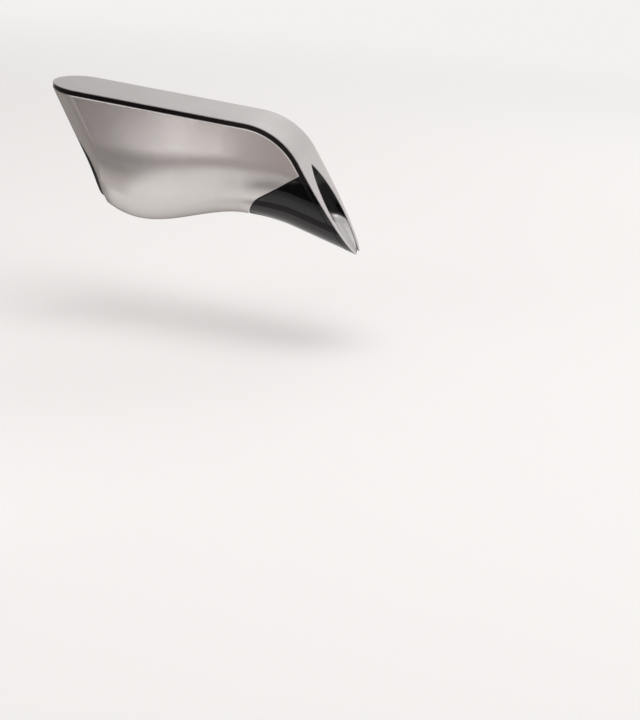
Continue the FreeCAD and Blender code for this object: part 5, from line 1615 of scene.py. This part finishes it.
@dataclass(frozen=True)
class ReflectionCard:
    """A glowing card that only polished surfaces show, painted with a gradient along Y from its near to its
    far side: a painted reflection.
    """

    name: str
    corners: tuple[Corner, ...]
    near: str
    far: str
    near_y: float
    far_y: float

    def build(self) -> None:
        """Put the card up."""
        mesh = bpy.data.meshes.new(self.name)
        mesh.from_pydata(self.corners, [], [(0, 1, 2, 3)])
        made = bpy.data.materials.new(self.name + "_card")
        made.use_nodes = True
        tree = made.node_tree
        tree.nodes.clear()
        place = add_node(tree, "ShaderNodeTexCoord").outputs["Object"]
        parts = add_node(tree, "ShaderNodeSeparateXYZ", {}, {0: place})
        share = add_node(tree, "ShaderNodeMapRange", {"interpolation_type": "SMOOTHSTEP"},
                         {"Value": parts.outputs["Y"], "From Min": self.near_y, "From Max": self.far_y})
        tint = add_node(tree, "ShaderNodeMix", {"data_type": "RGBA"},
                        {"Factor": share.outputs["Result"], 6: linear(self.near), 7: linear(self.far)})
        # The card glows with its gradient and only glossy rays see it: a painted reflection, not a lamp.
        glow = add_node(tree, "ShaderNodeEmission", {}, {"Color": tint.outputs[2], "Strength": 1.0})
        add_node(tree, "ShaderNodeOutputMaterial", {}, {"Surface": glow.outputs[0]})
        mesh.materials.append(made)
        card = bpy.data.objects.new(self.name, mesh)
        for kind in ("camera", "diffuse", "shadow", "transmission", "volume_scatter"):
            setattr(card, "visible_" + kind, False)
        bpy.context.scene.collection.objects.link(card)


def lying(left: float, right: float, back: float, front: float,
          lift: float = CARD_LIFT) -> tuple[Corner, ...]:
    """Corners of a card that lies just above the floor.

    Args:
        left: its lowest X.
        right: its highest X.
        back: its highest Y.
        front: its lowest Y.
        lift: its height above the floor.

    Returns:
        The four corners in order round it.
    """
    height = FLOOR + lift
    return (left, back, height), (right, back, height), (right, front, height), (left, front, height)


def outlined(places: Sequence[tuple[float, float]]) -> tuple[Corner, ...]:
    """Corners of a card of any outline that lies just above the floor, from its X and Y places."""
    return tuple((x, y, FLOOR + CARD_LIFT) for x, y in places)


LAMPS = (
    Softbox("overhead", (0.16, -0.1, 0.9), (0.9, 0.7), 3.06),
    Softbox("front_left", (-0.55, -0.75, 0.35), (0.35, 0.5), 1.0),
    Softbox("front_right", (0.8, -0.35, 0.45), (0.35, 0.5), 1.0),
    Softbox("behind", (0.26, 0.9, 0.56), (0.9, 0.4), 1.4),
    Softbox("right_behind", (0.75, 0.85, 0.12), (0.5, 0.4), 1.28),
    # The one small lamp, low in front of the shell, puts the soft bright patch on its side.
    Softbox("low_front", (-0.050, -0.322, -0.047), (0.035, 0.025), 0.0112, hidden=True),
)
CARDS = (
    # Glowing cards in front that paint the reflection on the shell's flat side: lighter towards the spout,
    # darker on the left.
    ReflectionCard("front_right_reflection_card", outlined(((-0.03, -0.2), (1.5, -0.2), (1.5, -1.6), (-0.22, -1.6))),
         "#80726F", "#93857F", -0.22, -0.5),
    ReflectionCard("front_left_reflection_card", outlined(((-1.5, -0.186), (-0.03, -0.2), (-0.22, -1.6), (-1.5, -1.6))),
         "#392D2B", "#675653", -0.24, -0.5),
    # Glowing cards at the rear that paint the reflections on the shell's rounded rear end, and the painted
    # dark band under the bright patch on its side.
    ReflectionCard("left_reflection_card", lying(-1.5, -0.052, 0.6, -0.186), "#6A6260", "#8C8683", -0.18, -0.02),
    ReflectionCard("rear_near", lying(-1.5, -0.12, -0.186, -0.45, 2 * CARD_LIFT), "#A8A09D", "#2A201E", -0.26, -0.42),
    ReflectionCard("rear_far", lying(-1.5, -0.12, -0.45, -0.7, 2 * CARD_LIFT), "#2A201E", "#675653", -0.53, -0.68),
    ReflectionCard("notch_card", lying(-0.095, -0.03, -0.05, -0.19, 2 * CARD_LIFT),
         "#4A403E", "#BDB7B4", -0.175, -0.06),
    # Glowing cards that paint the nose's reflections: a dark field in front of it, a soft edge and a grey
    # stripe under it.
    ReflectionCard("nose_card", lying(0.03, 0.075, -0.09, -0.1995), "#2A2624", "#2A2624", -0.22, -0.1),
    ReflectionCard("nose_shade", lying(0.03, 0.075, -0.05, -0.0895), "#A29C99", "#E9E7E5", -0.09, -0.05),
    ReflectionCard("nose_stripe", lying(0.0365, 0.14, -0.014, -0.036), "#A09A97", "#A09A97", -0.036, -0.014),
    # Glowing card under the belly that paints its bright reflection, darker towards the back.
    ReflectionCard("under_card", lying(-0.0515, 0.036, 0.5, -0.06), "#E9E7E5", "#8F8885", -0.05, 0.09),
    # Upright glowing cards, far in front and to the left, that paint dim reflections.
    ReflectionCard("far_front_reflection_card", ((-2.0, -1.6, FLOOR), (2.0, -1.6, FLOOR), (2.0, -1.6, 0.2), (-2.0, -1.6, 0.2)),
         "#6A605E", "#6A605E", -1.5, -1.7),
    ReflectionCard("left_card", ((-0.4, 0.3, FLOOR), (-0.4, -1.0, FLOOR), (-0.4, -1.0, 0.35), (-0.4, 0.3, 0.35)),
         "#5E5452", "#7A706E", -0.9, 0.3),
)


@dataclass(frozen=True)
class Studio:
    """Pale floor, soft lamps, glowing cards that paint reflections, surroundings and camera."""

    pale: str = "#F3F1F0"
    fill: float = 0.68
    floor_steps: int = 96
    floor_rings: tuple[float, ...] = (0.3, 0.8, 1.6, 3.0)
    floor_fade: tuple[float, float] = (0.45, 1.2)
    lens: float = 106.0
    sensor: float = 36.0
    clip: tuple[float, float] = (0.01, 50.0)
    eye: Corner = (0.2336, -0.9535, 0.1902)
    right: Corner = (0.9808, 0.1736, 0.0893)
    up: Corner = (-0.1323, 0.2549, 0.9579)
    back: Corner = (0.1435, -0.9513, 0.2730)

    def floor(self) -> None:
        """Round floor that fades out into the surroundings."""
        steps = self.floor_steps
        angles = [TURN * step / steps for step in range(steps)]
        points = [(0.0, 0.0, FLOOR)]
        points += [(reach * math.cos(angle), reach * math.sin(angle), FLOOR)
                   for reach in self.floor_rings for angle in angles]
        faces = [(0, 1 + step, 1 + (step + 1) % steps) for step in range(steps)]
        for ring in range(len(self.floor_rings) - 1):
            for step in range(steps):
                a, b = 1 + ring * steps + step, 1 + ring * steps + (step + 1) % steps
                faces.append((a, a + steps, b + steps, b))
        mesh = bpy.data.meshes.new("floor")
        mesh.from_pydata(points, [], faces)
        made = bpy.data.materials.new("floor_paint")
        made.use_nodes = True
        tree = made.node_tree
        tree.nodes.clear()
        place = add_node(tree, "ShaderNodeTexCoord").outputs["Object"]
        reach = add_node(tree, "ShaderNodeVectorMath", {"operation": "LENGTH"}, {0: place})
        fade = add_node(tree, "ShaderNodeMapRange", {"interpolation_type": "SMOOTHSTEP"},
                        {"Value": reach.outputs["Value"], "From Min": self.floor_fade[0],
                         "From Max": self.floor_fade[1]})
        paint = add_node(tree, "ShaderNodeBsdfDiffuse", {}, {"Color": linear(self.pale)})
        clear = add_node(tree, "ShaderNodeBsdfTransparent")
        mixed = add_node(tree, "ShaderNodeMixShader", {},
                         {0: fade.outputs["Result"], 1: paint.outputs[0], 2: clear.outputs[0]})
        add_node(tree, "ShaderNodeOutputMaterial", {}, {"Surface": mixed.outputs[0]})
        mesh.materials.append(made)
        floor = bpy.data.objects.new("floor", mesh)
        bpy.context.scene.collection.objects.link(floor)

    def surroundings(self) -> None:
        """Pale for the eye and in reflections, dimmer as a source of light."""
        world = bpy.data.worlds.new("surroundings")
        bpy.context.scene.world = world
        world.use_nodes = True
        tree = world.node_tree
        tree.nodes.clear()
        rays = add_node(tree, "ShaderNodeLightPath").outputs
        seen = rays["Is Camera Ray"]
        for kind in ("Is Glossy Ray", "Is Transmission Ray"):
            either = add_node(tree, "ShaderNodeMath", {"operation": "MAXIMUM"}, {0: seen, 1: rays[kind]})
            seen = either.outputs["Value"]
        pale = add_node(tree, "ShaderNodeBackground", {}, {"Color": linear(self.pale), "Strength": 1.0})
        dim = add_node(tree, "ShaderNodeBackground", {}, {"Color": linear(self.pale), "Strength": self.fill})
        mixed = add_node(tree, "ShaderNodeMixShader", {}, {0: seen, 1: dim.outputs[0], 2: pale.outputs[0]})
        add_node(tree, "ShaderNodeOutputWorld", {}, {"Surface": mixed.outputs[0]})

    def camera(self) -> None:
        """A camera a metre off, a little above and ahead of the part."""
        data = bpy.data.cameras.new("camera")
        data.lens = self.lens
        data.sensor_width = self.sensor
        data.clip_start, data.clip_end = self.clip
        camera = bpy.data.objects.new("camera", data)
        camera.matrix_world = placed(self.eye, self.right, self.up, self.back)
        bpy.context.scene.collection.objects.link(camera)
        bpy.context.scene.camera = camera

    def build(self) -> None:
        """Set the whole scene up."""
        bpy.context.scene.view_settings.view_transform = "Standard"
        self.floor()
        self.surroundings()
        for item in LAMPS + CARDS:
            item.build()
            LOG.info("%s: set up on the stage", item.name)
        self.camera()


def main() -> None:
    """Build the part, then the studio."""
    logging.basicConfig(level=logging.INFO, format="%(name)s: %(message)s")
    for assembly in (CoverAndBand(), MetalShell(), Nose(), NeckLiner(), StopperCartridge(), InnerWorks()):
        assembly.build()
    Studio().build()


if __name__ == "__main__":
    main()
